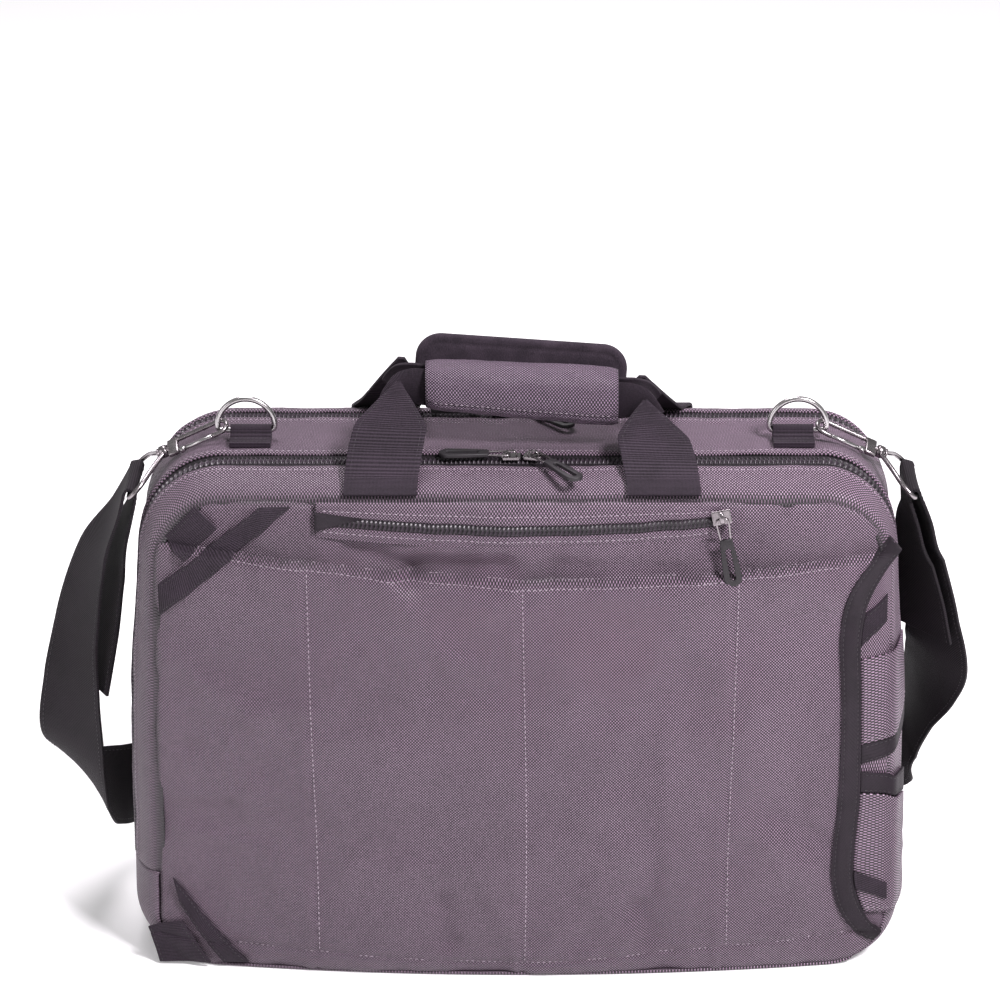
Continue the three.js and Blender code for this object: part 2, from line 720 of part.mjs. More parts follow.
// A flat strap through sections, each with a centre, the direction across it and a width
function ribbon(sections, thickness, steps) {
  const vectors = (pick) => sections.map((section) => new THREE.Vector3(...pick(section)));
  const centres = new THREE.CatmullRomCurve3(vectors((s) => s.centre), false, 'centripetal');
  const acrosses = new THREE.CatmullRomCurve3(vectors((s) => s.across), false, 'catmullrom', 0.3);
  const spans = sections.length - 1;
  const rings = Array.from({ length: spans * steps + 1 }, (_, i) => {
    const t = i / (spans * steps);
    const k = Math.min(spans - 1, Math.floor(i / steps));
    const width = THREE.MathUtils.lerp(sections[k].width, sections[k + 1].width, i / steps - k);
    const centre = centres.getPoint(t);
    const along = centres.getTangent(t);
    const across = acrosses.getPoint(t).projectOnPlane(along).normalize();
    const normal = new THREE.Vector3().crossVectors(across, along);
    const corner = (side, face) => centre.clone()
      .addScaledVector(across, (side * width) / 2)
      .addScaledVector(normal, (face * thickness) / 2)
      .toArray();
    return [corner(-1, 1), corner(1, 1), corner(1, -1), corner(-1, -1)];
  });
  return ringSolid(rings, 'strip');
}

// Rings, tabs and hooks of the left side, mirrored for the right

function dRing() {
  const radius = (ring.inner + ring.wire) / 2;
  const { bend } = ring;
  const points = [
    ...arcPoints(0, bend, radius, 0, 180, 14),
    ...arcPoints(bend - radius, bend, bend, 210, 270, 2),
    ...arcPoints(radius - bend, bend, bend, 270, 330, 2),
  ];
  const wire = planeWire(points, ring.wire, 8, true);
  return wire.rotateX(Math.PI / 2).translate(-ringX, ring.y, ringBar);
}

// The tab's section in depth and height, with a hole for the ring's bar
function ringTab() {
  const hole = ring.wire / 2 + gap;
  const bottom = (y) => topZ(y) + trim.lift + gap;
  const hump = arcPoints(ring.y, ringBar, hole + tab.thickness, 160, -20, 7);
  const depths = [ring.y + tab.heel, ring.y, tab.front];
  const outline = [
    [tab.front, bottom(tab.front) + tab.thickness],
    ...hump,
    ...depths.map((y) => [y, bottom(y)]),
  ];
  const shape = new THREE.Shape(outline.map(([y, z]) => new THREE.Vector2(y, z)));
  shape.holes.push(new THREE.Path(arcPoints(ring.y, ringBar, hole, 0, 330, 11)
    .map(([y, z]) => new THREE.Vector2(y, z))));
  const solid = new THREE.ExtrudeGeometry(shape, { depth: tab.width, bevelEnabled: false });
  const [x, y, z] = [new THREE.Vector3(1, 0, 0), new THREE.Vector3(0, 1, 0), new THREE.Vector3(0, 0, 1)];
  solid.applyMatrix4(new THREE.Matrix4().makeBasis(y, z, x));
  return solid.translate(-ringX + tab.offset - tab.width / 2, 0, 0);
}

// The hook's frame: its X runs from the swivel to the nose, its Y across the two bars
const hookFrame = (() => {
  const slope = THREE.MathUtils.degToRad(hook.slope);
  const roll = THREE.MathUtils.degToRad(hook.roll);
  const along = new THREE.Vector3(Math.cos(slope), 0, Math.sin(slope));
  const up = new THREE.Vector3(-Math.sin(slope), 0, Math.cos(slope));
  const across = new THREE.Vector3(0, Math.cos(roll), 0).addScaledVector(up, Math.sin(roll));
  const normal = new THREE.Vector3().crossVectors(along, across);
  const side = -(ringX + (ring.inner + ring.wire) / 2);
  const clear = (ring.wire + hook.wire) / 2 + 2 * gap;
  const nose = new THREE.Vector3(side + hook.reach, ring.y, ringBar + clear);
  const swivel = nose.clone().addScaledVector(along, -hook.length);
  return { swivel, matrix: new THREE.Matrix4().makeBasis(along, across, normal).setPosition(swivel) };
})();

function rod(diameter, from, to, sides) {
  const cylinder = new THREE.CylinderGeometry(diameter / 2, diameter / 2, to - from, sides);
  return cylinder.rotateZ(Math.PI / 2).translate((from + to) / 2, 0, 0);
}

function hookBody() {
  const half = hook.spread / 2;
  const bend = hook.length - half;
  const points = [
    [hook.block - joined, half],
    [bend, half],
    ...arcPoints(bend, 0, half, 60, -90, 5),
    [hook.length - hook.nose, -half],
  ];
  const start = hook.shoulder + gap;
  const length = hook.block - start;
  const block = new THREE.BoxGeometry(length, hook.spread + hook.wire, hook.wire);
  block.translate(start + length / 2, 0, 0);
  const behind = -loop.collarLength;
  const post = rod(hook.post, behind - gap - joined, start + joined, 12);
  const head = rod(hook.head, behind - gap - hook.headLength, behind - gap, 12);
  return union(planeWire(points, hook.wire, 8, false), block, post, head).applyMatrix4(hookFrame.matrix);
}

function hookGate() {
  const half = hook.spread / 2;
  const pivot = hook.block + gap + gate.knuckle / 2;
  const bar = rod(gate.wire, pivot, hook.length - hook.nose - gap, 8).translate(0, -half, 0);
  const knuckle = new THREE.CylinderGeometry(gate.knuckle / 2, gate.knuckle / 2, hook.wire, 12);
  knuckle.rotateX(Math.PI / 2).translate(pivot, -half, 0);
  return union(bar, knuckle).applyMatrix4(hookFrame.matrix);
}

// The loop hangs from the swivel. Its X runs down to the bar, its Y along the bar.
const loopFrame = (() => {
  const slope = THREE.MathUtils.degToRad(loop.slope);
  const out = new THREE.Vector3(-Math.cos(slope), 0, -Math.sin(slope));
  const across = new THREE.Vector3(0, 1, 0);
  const normal = new THREE.Vector3().crossVectors(out, across);
  const collar = new THREE.Vector3(-loop.collarLength / 2, 0, 0).applyMatrix4(hookFrame.matrix);
  const bar = collar.clone().addScaledVector(out, loop.reach);
  bar.y += loop.side;
  return { bar, matrix: new THREE.Matrix4().makeBasis(out, across, normal).setPosition(collar) };
})();

function hookLoop() {
  const hole = hook.post / 2 + gap;
  const [half, radius] = [loop.collarLength / 2, loop.collar / 2];
  const profile = [[hole, -half], [radius, -half], [radius, half], [hole, half], [hole, -half]];
  const collar = new THREE.LatheGeometry(profile.map(([r, h]) => new THREE.Vector2(r, h)), 14);
  collar.rotateZ(Math.PI / 2).translate(-half, 0, 0).applyMatrix4(hookFrame.matrix);
  const [side, start] = [loop.width / 2, (hole + radius) / 2];
  const arm = (sign) => [
    [0, sign * start],
    [loop.neck, sign * (start + loop.neck)],
    [loop.reach - loop.straight, sign * (side - gap)],
  ];
  const { bend } = loop;
  const points = [
    ...arm(-1),
    ...arcPoints(loop.reach - bend, bend - side, bend, -40, 0, 1),
    ...arcPoints(loop.reach - bend, side - bend, bend, 0, 40, 1),
    ...arm(1).reverse(),
  ].map(([x, y]) => [x, y + loop.side * (x / loop.reach)]);
  const wire = planeWire(points, loop.wire, 8, false).applyMatrix4(loopFrame.matrix);
  return union(wire, collar);
}

function addHardware() {
  const pieces = [
    ['d_ring', dRing(), 'metal'],
    ['d_ring_tab', ringTab(), 'webbing'],
    ['hook_body', hookBody(), 'metal'],
    ['hook_gate', hookGate(), 'metal'],
    ['hook_loop', hookLoop(), 'metal'],
  ];
  for (const [name, geometry, finish] of pieces) {
    add(`${name}_left`, geometry, finish);
    add(`${name}_right`, mirrored(geometry), finish);
  }
}

// Shoulder strap

function strapSection(row) {
  const centre = [row.x * halfWidth, row.y * halfDepth, row.z * bag.height];
  return { centre, across: row.across, width: strap.width };
}

// The turn over a loop's bar, from the layer beside the bag to the outer one
function barTurn(sign) {
  const { bar } = loopFrame;
  const radius = (loop.wire + strap.thickness) / 2 + 3 * gap;
  return [0, 30, 60, 90, 120, 150, 180].map((degrees) => {
    const angle = THREE.MathUtils.degToRad(degrees);
    const x = sign * (-bar.x - radius * Math.cos(angle));
    return { centre: [x, bar.y, bar.z + radius * Math.sin(angle)], across: [0, 1, 0], width: strap.width };
  });
}

function addStrap() {
  const sections = [
    ...strapLeftInner.map(strapSection),
    ...barTurn(-1),
    ...[...strapLeftOuter, ...strapBehind, ...strapRightOuter].map(strapSection),
    ...barTurn(1).reverse(),
    ...strapRightInner.map(strapSection),
  ];
  add('shoulder_strap', ribbon(sections, strap.thickness, 2), 'webbing');
}

// Handles and grip

function gripHeight(x) {
  return gripZ - (x / grip.length) * grip.drop;
}

// sign is -1 for the front handle and 1 for the back one
function handleStrap(sign) {
  const foot = bag.height + handle.thickness;
  const reach = halfDepth - sign * grip.centreY;
  const half = handleSections.map((row) => {
    const y = grip.centreY + sign * Math.max(handle.spread, row.side * reach);
    const sectionAt = (side) => {
      const inward = sign > 0 ? row.backIn : 0;
      const x = side * (row.x - inward) * handle.centre;
      const lowest = topZ(y) + handle.thickness / 2 + row.clear;
      const z = Math.max(lowest, THREE.MathUtils.lerp(foot, gripHeight(x), row.rise));
      const across = [row.across[0], 0, -side * row.across[2]];
      return { centre: [x, y, z], across, width: row.width * handle.width };
    };
    return { left: sectionAt(-1), right: sectionAt(1) };
  });
  const right = half.slice(0, -1).reverse().map((pair) => {
    const across = pair.right.across.map((value) => -value);
    return { ...pair.right, across };
  });
  return ribbon([...half.map((pair) => pair.left), ...right], handle.thickness, 2);
}

function gripWrap() {
  const ringAt = (x, inset) => Array.from({ length: 16 }, (_, j) => {
    const angle = (j * Math.PI) / 8;
    const [half, tall] = [grip.depth / 2 - inset, grip.height / 2 - inset];
    return [x, grip.centreY + half * Math.cos(angle), gripHeight(x) + tall * Math.sin(angle)];
  });
  const xs = [-1, -0.5, 0, 0.5, 1].map((share) => (share * grip.length) / 2);
  const outer = xs.map((x) => ringAt(x, 0));
  const inner = xs.map((x) => ringAt(x, grip.wall)).reverse();
  return ringSolid([...outer, ...inner], 'loop');
}

function gripFlap() {
  const half = flap.length / 2;
  const shape = new THREE.Shape();
  shape.moveTo(-half, 0);
  shape.lineTo(half, 0);
  shape.absarc(half - flap.corner, flap.height - flap.corner, flap.corner, 0, Math.PI / 2);
  shape.absarc(flap.corner - half, flap.height - flap.corner, flap.corner, Math.PI / 2, Math.PI);
  shape.closePath();
  const settings = { depth: flap.thickness, bevelEnabled: false, curveSegments: 6 };
  const solid = new THREE.ExtrudeGeometry(shape, settings).rotateX(Math.PI / 2);
  const tilt = Math.atan(grip.drop / grip.length);
  const base = gripZ + grip.height / 2 + flap.above - flap.height;
  const back = grip.centreY + grip.depth / 2 + gap + flap.thickness;
  return solid.rotateY(tilt).translate(flap.shift, back, base);
}

function addHandles() {
  add('front_handle', handleStrap(-1), 'webbing');
  add('back_handle', handleStrap(1), 'webbing');
  add('grip_wrap', gripWrap(), 'fabric');
  add('grip_flap', gripFlap(), 'webbing');
}

// Zip sliders and their pulls. Their own X runs towards the pull, their Z out of the cloth.

function zipSlider(lengthwise) {
  const [length, width] = lengthwise ? [slider.length, slider.width] : [slider.width, slider.length];
  const base = new THREE.BoxGeometry(length, width, slider.base).translate(0, 0, slider.base / 2);
  const half = slider.bridge / 2;
  const top = slider.base + slider.opening + slider.wall;
  const shape = new THREE.Shape();
  shape.moveTo(-half, slider.base - slider.wall / 2);
  shape.lineTo(half, slider.base - slider.wall / 2);
  shape.lineTo(half, top - slider.wall);
  shape.lineTo(half - slider.wall, top);
  shape.lineTo(slider.wall - half, top);
  shape.lineTo(-half, top - slider.wall);
  shape.closePath();
  const inside = half - slider.wall;
  const under = top - slider.wall;
  const hole = [[-inside, slider.base], [-inside, under], [inside, under], [inside, slider.base]];
  shape.holes.push(new THREE.Path(hole.map(([x, z]) => new THREE.Vector2(x, z))));
  const bridge = new THREE.ExtrudeGeometry(shape, { depth: slider.bridgeWidth, bevelEnabled: false });
  bridge.rotateX(Math.PI / 2).translate(0, slider.bridgeWidth / 2, 0);
  return union(base, bridge);
}

const pinPlace = {
  x: slider.bridge / 2 - slider.wall - pull.prong / 2 - pull.play,
  z: slider.base + slider.opening / 2,
};

// The pull starts at its pin
function zipPull() {
  const start = pull.prongLength;
  const round = pull.width / 2;
  const end = start + pull.length - round;
  const shape = new THREE.Shape();
  shape.moveTo(start, -pull.tip / 2);
  shape.lineTo(end - round, -round);
  shape.lineTo(end, -round);
  shape.absarc(end, 0, round, -Math.PI / 2, Math.PI / 2);
  shape.lineTo(end - round, round);
  shape.lineTo(start, pull.tip / 2);
  shape.closePath();
  const slot = new THREE.Path();
  const [first, last, half] = [start + pull.tip, end, pull.slot / 2];
  slot.moveTo(first, -half);
  slot.absarc(first, 0, half, -Math.PI / 2, Math.PI / 2, true);
  slot.absarc(last, 0, half, Math.PI / 2, -Math.PI / 2, true);
  shape.holes.push(slot);
  const settings = { depth: pull.thickness, bevelEnabled: false, curveSegments: 5 };
  const plate = new THREE.ExtrudeGeometry(shape, settings).translate(0, 0, -pull.thickness / 2);
  const side = pull.spread / 2;
  const reach = start + joined;
  const bar = (y) => new THREE.BoxGeometry(reach + pull.prong / 2, pull.prong, pull.prong)
    .translate((reach - pull.prong / 2) / 2, y, 0);
  const pin = new THREE.BoxGeometry(pull.prong, 2 * side + pull.prong, pull.prong);
  return union(plate, bar(side), bar(-side), pin);
}

// A frame on the cloth: where the slider sits, the way its pull points and the way out of the cloth
function clothFrame(place, toward, out) {
  const normal = new THREE.Vector3(...out).normalize();
  const along = new THREE.Vector3(...toward).projectOnPlane(normal).normalize();
  const across = new THREE.Vector3().crossVectors(normal, along);
  return new THREE.Matrix4().makeBasis(along, across, normal).setPosition(...place);
}

// turn swings the pull sideways on its pin and dip lowers its end, in degrees
function addSlider(names, frame, lengthwise, turn, dip) {
  add(names[0], zipSlider(lengthwise).applyMatrix4(frame), 'metal');
  const [swing, fall] = [turn, dip].map(THREE.MathUtils.degToRad);
  const place = new THREE.Matrix4()
    .makeRotationFromEuler(new THREE.Euler(0, fall, swing, 'ZYX'))
    .setPosition(pinPlace.x, 0, pinPlace.z);
  add(names[1], zipPull().applyMatrix4(place).applyMatrix4(frame), 'rubber');
}

function addSliders() {
  const lift = (y) => topZ(y) + 2 * gap;
  const frontY0 = frontZipY + zip.width / 2;
  const backY0 = backZipY + zip.width / 2;
  const half = slider.length / 2 + 3 * gap;
  const rows = [
    { side: 'left', zip: 'front', x: -half, y: frontY0, toward: [-1, 0, 0], turn: 0, dip: 0 },
    { side: 'right', zip: 'front', x: half, y: frontY0, toward: [1, -0.2, 0], turn: -40, dip: 5 },
    { side: 'left', zip: 'back', x: -2 * half, y: backY0, toward: [-1, 0, 0], turn: 0, dip: 0 },
    { side: 'right', zip: 'back', x: 0, y: backY0, toward: [1, -0.2, 0], turn: -34, dip: 0 },
  ];
  for (const row of rows) {
    const frame = clothFrame([row.x, row.y, lift(row.y)], row.toward, [0, 0, 1]);
    const names = [`${row.zip}_slider_${row.side}`, `${row.zip}_pull_${row.side}`];
    addSlider(names, frame, true, row.turn, row.dip);
  }
  const x = pocketShare.right * halfWidth + gap;
  const z = pocketZipTop(x) - gap;
  const y = frontY(x, z) - trim.lift - pocket.thickness - gap * 2;
  const frame = clothFrame([x, y, z], [0.2, 0, -1], [0, -1, 0.1]);
  addSlider(['pocket_slider', 'pocket_pull'], frame, false, 0, 2);
}

addBands();
addPanels();
addCornerPieces();
addPocket();
addSideLayers();
addLowBand();
addHardware();
addStrap();
addHandles();
addSliders();

export default group;
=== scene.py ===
"""A grey laptop bag in its briefcase form. Lengths are millimetres until a point goes into a mesh."""
import math
from types import SimpleNamespace as Sizes

import bmesh
import bpy
from mathutils import Matrix, Vector, noise


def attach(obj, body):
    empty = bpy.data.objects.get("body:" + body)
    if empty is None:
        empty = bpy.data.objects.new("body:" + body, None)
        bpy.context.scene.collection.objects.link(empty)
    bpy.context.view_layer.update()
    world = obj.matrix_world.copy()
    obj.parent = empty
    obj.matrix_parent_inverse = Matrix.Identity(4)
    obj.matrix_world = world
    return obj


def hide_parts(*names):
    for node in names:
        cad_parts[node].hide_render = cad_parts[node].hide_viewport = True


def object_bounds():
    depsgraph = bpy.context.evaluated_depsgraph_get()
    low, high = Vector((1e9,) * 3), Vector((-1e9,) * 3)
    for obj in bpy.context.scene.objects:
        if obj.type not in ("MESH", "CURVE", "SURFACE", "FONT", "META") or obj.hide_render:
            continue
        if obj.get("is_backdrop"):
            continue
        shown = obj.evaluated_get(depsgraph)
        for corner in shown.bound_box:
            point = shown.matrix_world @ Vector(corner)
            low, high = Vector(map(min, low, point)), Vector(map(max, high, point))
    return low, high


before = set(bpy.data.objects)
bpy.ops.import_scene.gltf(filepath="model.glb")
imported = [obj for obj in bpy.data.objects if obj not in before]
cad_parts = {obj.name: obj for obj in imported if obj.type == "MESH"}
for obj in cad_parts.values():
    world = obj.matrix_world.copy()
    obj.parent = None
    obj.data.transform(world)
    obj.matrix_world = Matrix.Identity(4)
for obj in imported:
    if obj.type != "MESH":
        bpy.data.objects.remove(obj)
cad_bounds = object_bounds()

MM = 0.001

# The body's sizes, as in the part's source
bag = Sizes(width=428, height=304, depth=140, flare=0.036)
corner = Sizes(top=41, bottom=34)
crown = Sizes(top=14, back_rise=4, left_low=17.5, left_high=11, right_low=11, right_high=5.5)
bulge = Sizes(front=17, back=8)
zips = Sizes(width=14, from_front=25, from_back=34, end_height=62)
trim = Sizes(thickness=1.5, lift=0.3, side_lift=0.6)
pocket = Sizes(zip_height=7, left=-0.555, right=0.535, sag=5.5, below=7.5)
strap = Sizes(width=50, thickness=1.6)
handle = Sizes(width=42, thickness=2, spread=5)
grip = Sizes(length=112, height=34, depth=27, centre_y=-20, centre_z=353, drop=8)
flap = Sizes(length=124, height=24, thickness=4, corner=15, above=10, shift=-1)
ring = Sizes(inner=30, wire=3.4, centre_x=162, y=-10, bar_height=325.5, bend=2.5)
tab = Sizes(width=24, offset=2.7, front=-24, thickness=1.4)
hook = Sizes(wire=2.8, spread=10.6, length=39, block=7.4, block_start=0.3, nose=9.5, post=3.6, head=6.4,
             reach=5, slope=25, roll=20)
gate = Sizes(wire=2.6, knuckle=3.8)
loop = Sizes(wire=3, width=56, reach=27, collar=7.6, collar_length=4.6, slope=45, side=1, bow=2.5)
slider = Sizes(length=11, width=8.5, base=2.2, bridge=7.5, bridge_width=2.6, opening=2, wall=1)
pull = Sizes(length=29, width=10.5, tip=7.4, thickness=2.4, slot=3.2, prong=1.3, prong_length=12, spread=6.7,
             play=1.1)

# How the cloth lies: its soft edge, its tuck in the seam, walls, rows of stitches and zip teeth
pillow = Sizes(deep=3.4, reach=6.5)
seam_tuck = Sizes(deep=3.4, reach=1.4)
cut_away = Sizes(beyond=170, inside=4)
fold_gain = 2.1
grip_power = 0.86
cloth_wall = 1.6
thin_wall = 1.4
tape_wall = 0.8
webbing_edge = 0.35
fine_stitch = {"pitch": 2.8, "length": 2.0, "width": 0.55}
binding_rows = (0.16, 0.84)
welt_row, lip_row = 0.42, 0.5
zip_row, base_row, back_row = 4.2, 3.5, 9
zip_lap = 1
tooth_pitch = 2.6
forward = (0, -1, 0)
gap = 0.3

# The picture: its lengths are metres
view = Sizes(distance=2.2, elevation=25, aim=0.15, lens=129.6, shift=(-0.022, 0.193))
studio = Sizes(floor_half=6, floor_glow=0.22, sky=0.34, lamp_colour=(1.0, 0.95, 1.0))
lamps = [
    ("key", (1.35, -1.55, 2.4), 130, 0.6), ("fill", (-2.2, -1.5, 1.0), 12, 1.4),
    ("top", (-0.3, 0.7, 2.4), 46, 1.0),
]

half_width = bag.width / 2
half_depth = bag.depth / 2
half_height = bag.height / 2
edge_depth = 2 + gap
front_zip_y = -half_depth + zips.from_front
back_zip_y = half_depth - zips.from_back - zips.width

# Black binding round the D-shaped cut: shares of half-width and height, and the band's width
cut_edge = [
    (0.995, 0.922, 9), (0.927, 0.864, 12), (0.884, 0.804, 13), (0.869, 0.721, 12.5), (0.878, 0.594, 12),
    (0.881, 0.376, 13), (0.870, 0.267, 13.5), (0.871, 0.200, 13.5), (0.897, 0.130, 13), (0.953, 0.073, 11),
    (1.000, 0.052, 9),
]

# Bands inside the D: heights as shares of the bag's height at the binding, the seam and the front zip
side_layers = [
    ("side_flap", (0.492, 0.512, 0.570), (0.672, 0.694, 0.700), 0, 2),
    ("side_flap_binding", (0.449, 0.473, 0.522), (0.490, 0.510, 0.568), 0, 2),
    ("side_pocket_binding", (0.389, 0.378, 0.352), (0.432, 0.420, 0.403), 0.6, 2),
    ("side_pocket", (0.120, 0.120, 0.130), (0.386, 0.375, 0.349), 0.6, 2),
    ("side_band_high", (0.700, 0.752, 0.770), (0.767, 0.810, 0.830), 0, 1),
]

# Webbing on the front's left corners: four corners each, as shares of half-width and height
corner_pieces = [
    ("corner_strap_top", [(-0.705, 0.992), (-0.990, 0.832), (-0.990, 0.765), (-0.622, 0.992)]),
    ("corner_tab_top", [(-0.882, 0.990), (-0.968, 0.925), (-0.916, 0.884), (-0.822, 0.948)]),
    ("corner_strap_bottom", [(-0.985, 0.200), (-0.777, 0.016), (-0.849, 0.012), (-0.970, 0.146)]),
    ("corner_tab_bottom", [(-0.962, 0.108), (-0.885, 0.012), (-1.034, 0.006), (-1.062, 0.086)]),
]

# Shoulder strap sections as shares of half-width, half-depth and height, with the direction across
strap_left_inner = [
    (-1.231, -0.129, 0.541, (-0.57, 0.82, -0.04)), (-1.193, -0.121, 0.655, (-0.53, 0.85, -0.06)),
    (-1.148, -0.093, 0.787, (-0.40, 0.91, -0.06)), (-1.096, -0.129, 0.888, (-0.12, 0.99, 0.00)),
]
strap_outer = [
    (-1.128, -0.129, 0.900, (-0.12, 0.99, 0.00)), (-1.200, -0.100, 0.800, (-0.44, 0.88, -0.15)),
    (-1.252, -0.130, 0.658, (-0.58, 0.80, -0.10)), (-1.275, -0.164, 0.531, (-0.72, 0.68, -0.10)),
    (-1.287, -0.036, 0.370, (-0.78, 0.42, 0.45)), (-1.250, 0.407, 0.251, (-0.51, 0.24, 0.83)),
    (-1.189, 0.860, 0.190, (-0.18, 0.16, 0.97)), (-1.110, 1.200, 0.165, (-0.02, 0.04, 1.00)),
    (-0.900, 1.245, 0.170, (0.00, 0.00, 1.00)), (0.000, 1.221, 0.190, (0.00, 0.00, 1.00)),
    (0.900, 1.245, 0.212, (0.00, 0.00, 1.00)),
    (1.085, 1.214, 0.226, (0.02, 0.04, 1.00)), (1.133, 1.000, 0.314, (-0.08, 0.36, 0.93)),
    (1.152, 0.686, 0.414, (-0.31, 0.74, 0.60)), (1.175, 0.336, 0.505, (-0.56, 0.76, 0.33)),
    (1.177, 0.050, 0.590, (-0.64, 0.76, 0.02)), (1.154, -0.020, 0.686, (-0.55, 0.83, 0.00)),
    (1.122, -0.040, 0.822, (-0.38, 0.92, 0.00)), (1.112, -0.125, 0.898, (-0.14, 0.99, 0.00)),
]
strap_right_inner = [
    (1.084, -0.125, 0.884, (-0.12, 0.99, 0.00)), (1.100, -0.040, 0.812, (-0.34, 0.94, 0.00)),
    (1.128, -0.020, 0.686, (-0.52, 0.85, 0.00)), (1.138, 0.000, 0.630, (-0.58, 0.81, 0.00)),
]

# A handle's leg: share of the way out to the seam, share of the rise to the grip, outer and inner edge,
# least gap to the body
leg_edges = {
    -1: [(0.96, 0.02, 103, 60.5, 0.6), (0.90, 0.06, 103, 60.5, 1.4), (0.80, 0.16, 102.5, 60, 1.4),
         (0.60, 0.42, 100.5, 57.5, 1.4), (0.46, 0.66, 96.5, 55.4, 1.4), (0.38, 0.84, 87.5, 60.5, 1.4),
         (0.32, 1.0, 79, 66, 1.4), (0.28, 1.12, 72, 70.5, 1.4)],
    1: [(0.96, 0.02, 104, 62, 0.6), (0.90, 0.06, 103.5, 62, 1.4), (0.80, 0.16, 101.5, 61, 1.4),
        (0.60, 0.42, 96, 60, 1.4), (0.45, 0.66, 89, 60, 1.4), (0.36, 0.84, 83.5, 62, 1.4),
        (0.30, 1.0, 78, 65, 1.4), (0.26, 1.14, 72.5, 69, 1.4)],
}

# The rolled part of a handle, from its middle out: x, side, rise and width
roll_sections = [
    (20, 0.05, 1.0, 0.52), (50, 0.05, 1.0, 0.52), (58, 0.05, 1.01, 0.52), (64, 0.07, 1.02, 0.48),
    (70, 0.11, 1.0, 0.40), (75, 0.16, 0.93, 0.30), (79, 0.20, 0.84, 0.22),
]

# Stitched seams of the front, in the front's own X and Z
ridge_line = [
    (-215, 278), (-182, 273), (-116, 265), (-59, 258), (2, 255), (68, 256.5), (123, 260), (183, 266.5),
    (215, 271),
]
hem_line = [(-215, 22), (-186, 19), (-128, 16), (0, 10), (128, 19), (211, 24)]
upright_seams = [-125, 0, 123]

# Folds of the front: from (x, z) to (x, z), half-width and height out of the cloth
front_folds = [
    ((-77, 256), (-41, 208), 9, 1.6), ((-60, 262), (-12, 264), 9, -3.4), ((-98, 276), (-66, 262), 6, -2.2),
    ((20, 264), (84, 262), 8, -1.8), ((92, 262), (112, 278), 6, -1.6), ((-150, 262), (-136, 236), 8, 1.1),
    ((-209, 206), (-159, 172), 10, 1.3), ((-159, 172), (-127, 178), 8, 1.0),
    ((-206, 118), (-172, 121), 6, 0.8),
    ((-205, 92), (-168, 88), 6, 0.7), ((-196, 150), (-150, 140), 8, -0.7), ((-50, 52), (-44, 24), 7, -1.3),
    ((70, 46), (78, 24), 7, -1.5), ((40, 60), (64, 30), 9, 1.2), ((127, 120), (180, 84), 9, -1.2),
    ((130, 98), (172, 66), 9, 1.0), ((-10, 240), (30, 196), 12, 0.8), ((96, 236), (118, 200), 10, 0.8),
    ((140, 268), (176, 246), 9, 0.9), ((132, 292), (176, 282), 8, 0.9), ((-160, 292), (-136, 272), 9, 0.8),
    ((77, 170), (79, 60), 5, -0.5), ((84, 168), (86, 62), 7, 0.7), ((-28, 78), (-10, 40), 8, 0.7),
]


# Curves and surfaces

def smooth(low, high, value):
    share = min(1, max(0, (value - low) / (high - low)))
    return share * share * (3 - 2 * share)


def lerp(a, b, share):
    return a + (b - a) * share


def through(points, x):
    """The height at x of a smooth line through (x, height) points."""
    last = len(points) - 1
    k = max(0, min(last - 1, sum(1 for p in points[1:-1] if p[0] <= x)))

    def lean(i):
        a, b = points[max(0, i - 1)], points[min(last, i + 1)]
        return (b[1] - a[1]) / (b[0] - a[0])
    (x0, y0), (x1, y1) = points[k], points[k + 1]
    span = x1 - x0
    t = min(1, max(0, (x - x0) / span))
    near, far = (1 + 2 * t) * (1 - t) ** 2, t * t * (3 - 2 * t)
    return near * y0 + t * (1 - t) ** 2 * span * lean(k) + far * y1 - t * t * (1 - t) * span * lean(k + 1)


def curve_at(points, t, tension=None):
    """A point of a curve through the points. With no tension it is centripetal."""
    last = len(points) - 1
    place = last * min(1, max(0, t))
    i = min(last - 1, int(place))
    w = place - i
    p1, p2 = points[i], points[i + 1]
    p0 = points[i - 1] if i > 0 else 2 * p1 - p2
    p3 = points[i + 2] if i + 2 <= last else 2 * p2 - p1
    if tension is None:
        d1 = (p2 - p1).length ** 0.5 or 1
        d0, d2 = (p1 - p0).length ** 0.5 or d1, (p3 - p2).length ** 0.5 or d1
        t1 = ((p1 - p0) / d0 - (p2 - p0) / (d0 + d1) + (p2 - p1) / d1) * d1
        t2 = ((p2 - p1) / d1 - (p3 - p1) / (d1 + d2) + (p3 - p2) / d2) * d1
    else:
        t1, t2 = tension * (p2 - p0), tension * (p3 - p1)
    return p1 + t1 * w + (3 * (p2 - p1) - 2 * t1 - t2) * w * w + (2 * (p1 - p2) + t1 + t2) * w ** 3


def arc_piece(radius, x, z, start):
    def at(share):
        angle = start - share * math.pi / 2
        nx, nz = math.cos(angle), math.sin(angle)
        return Sizes(x=x + radius * nx, z=z + radius * nz, nx=nx, nz=nz)
    return radius * math.pi / 2, at


def line_piece(x0, z0, x1, z1, nx, nz):
    def at(share):
        return Sizes(x=lerp(x0, x1, share), z=lerp(z0, z1, share), nx=nx, nz=nz)
    return math.hypot(x1 - x0, z1 - z0), at


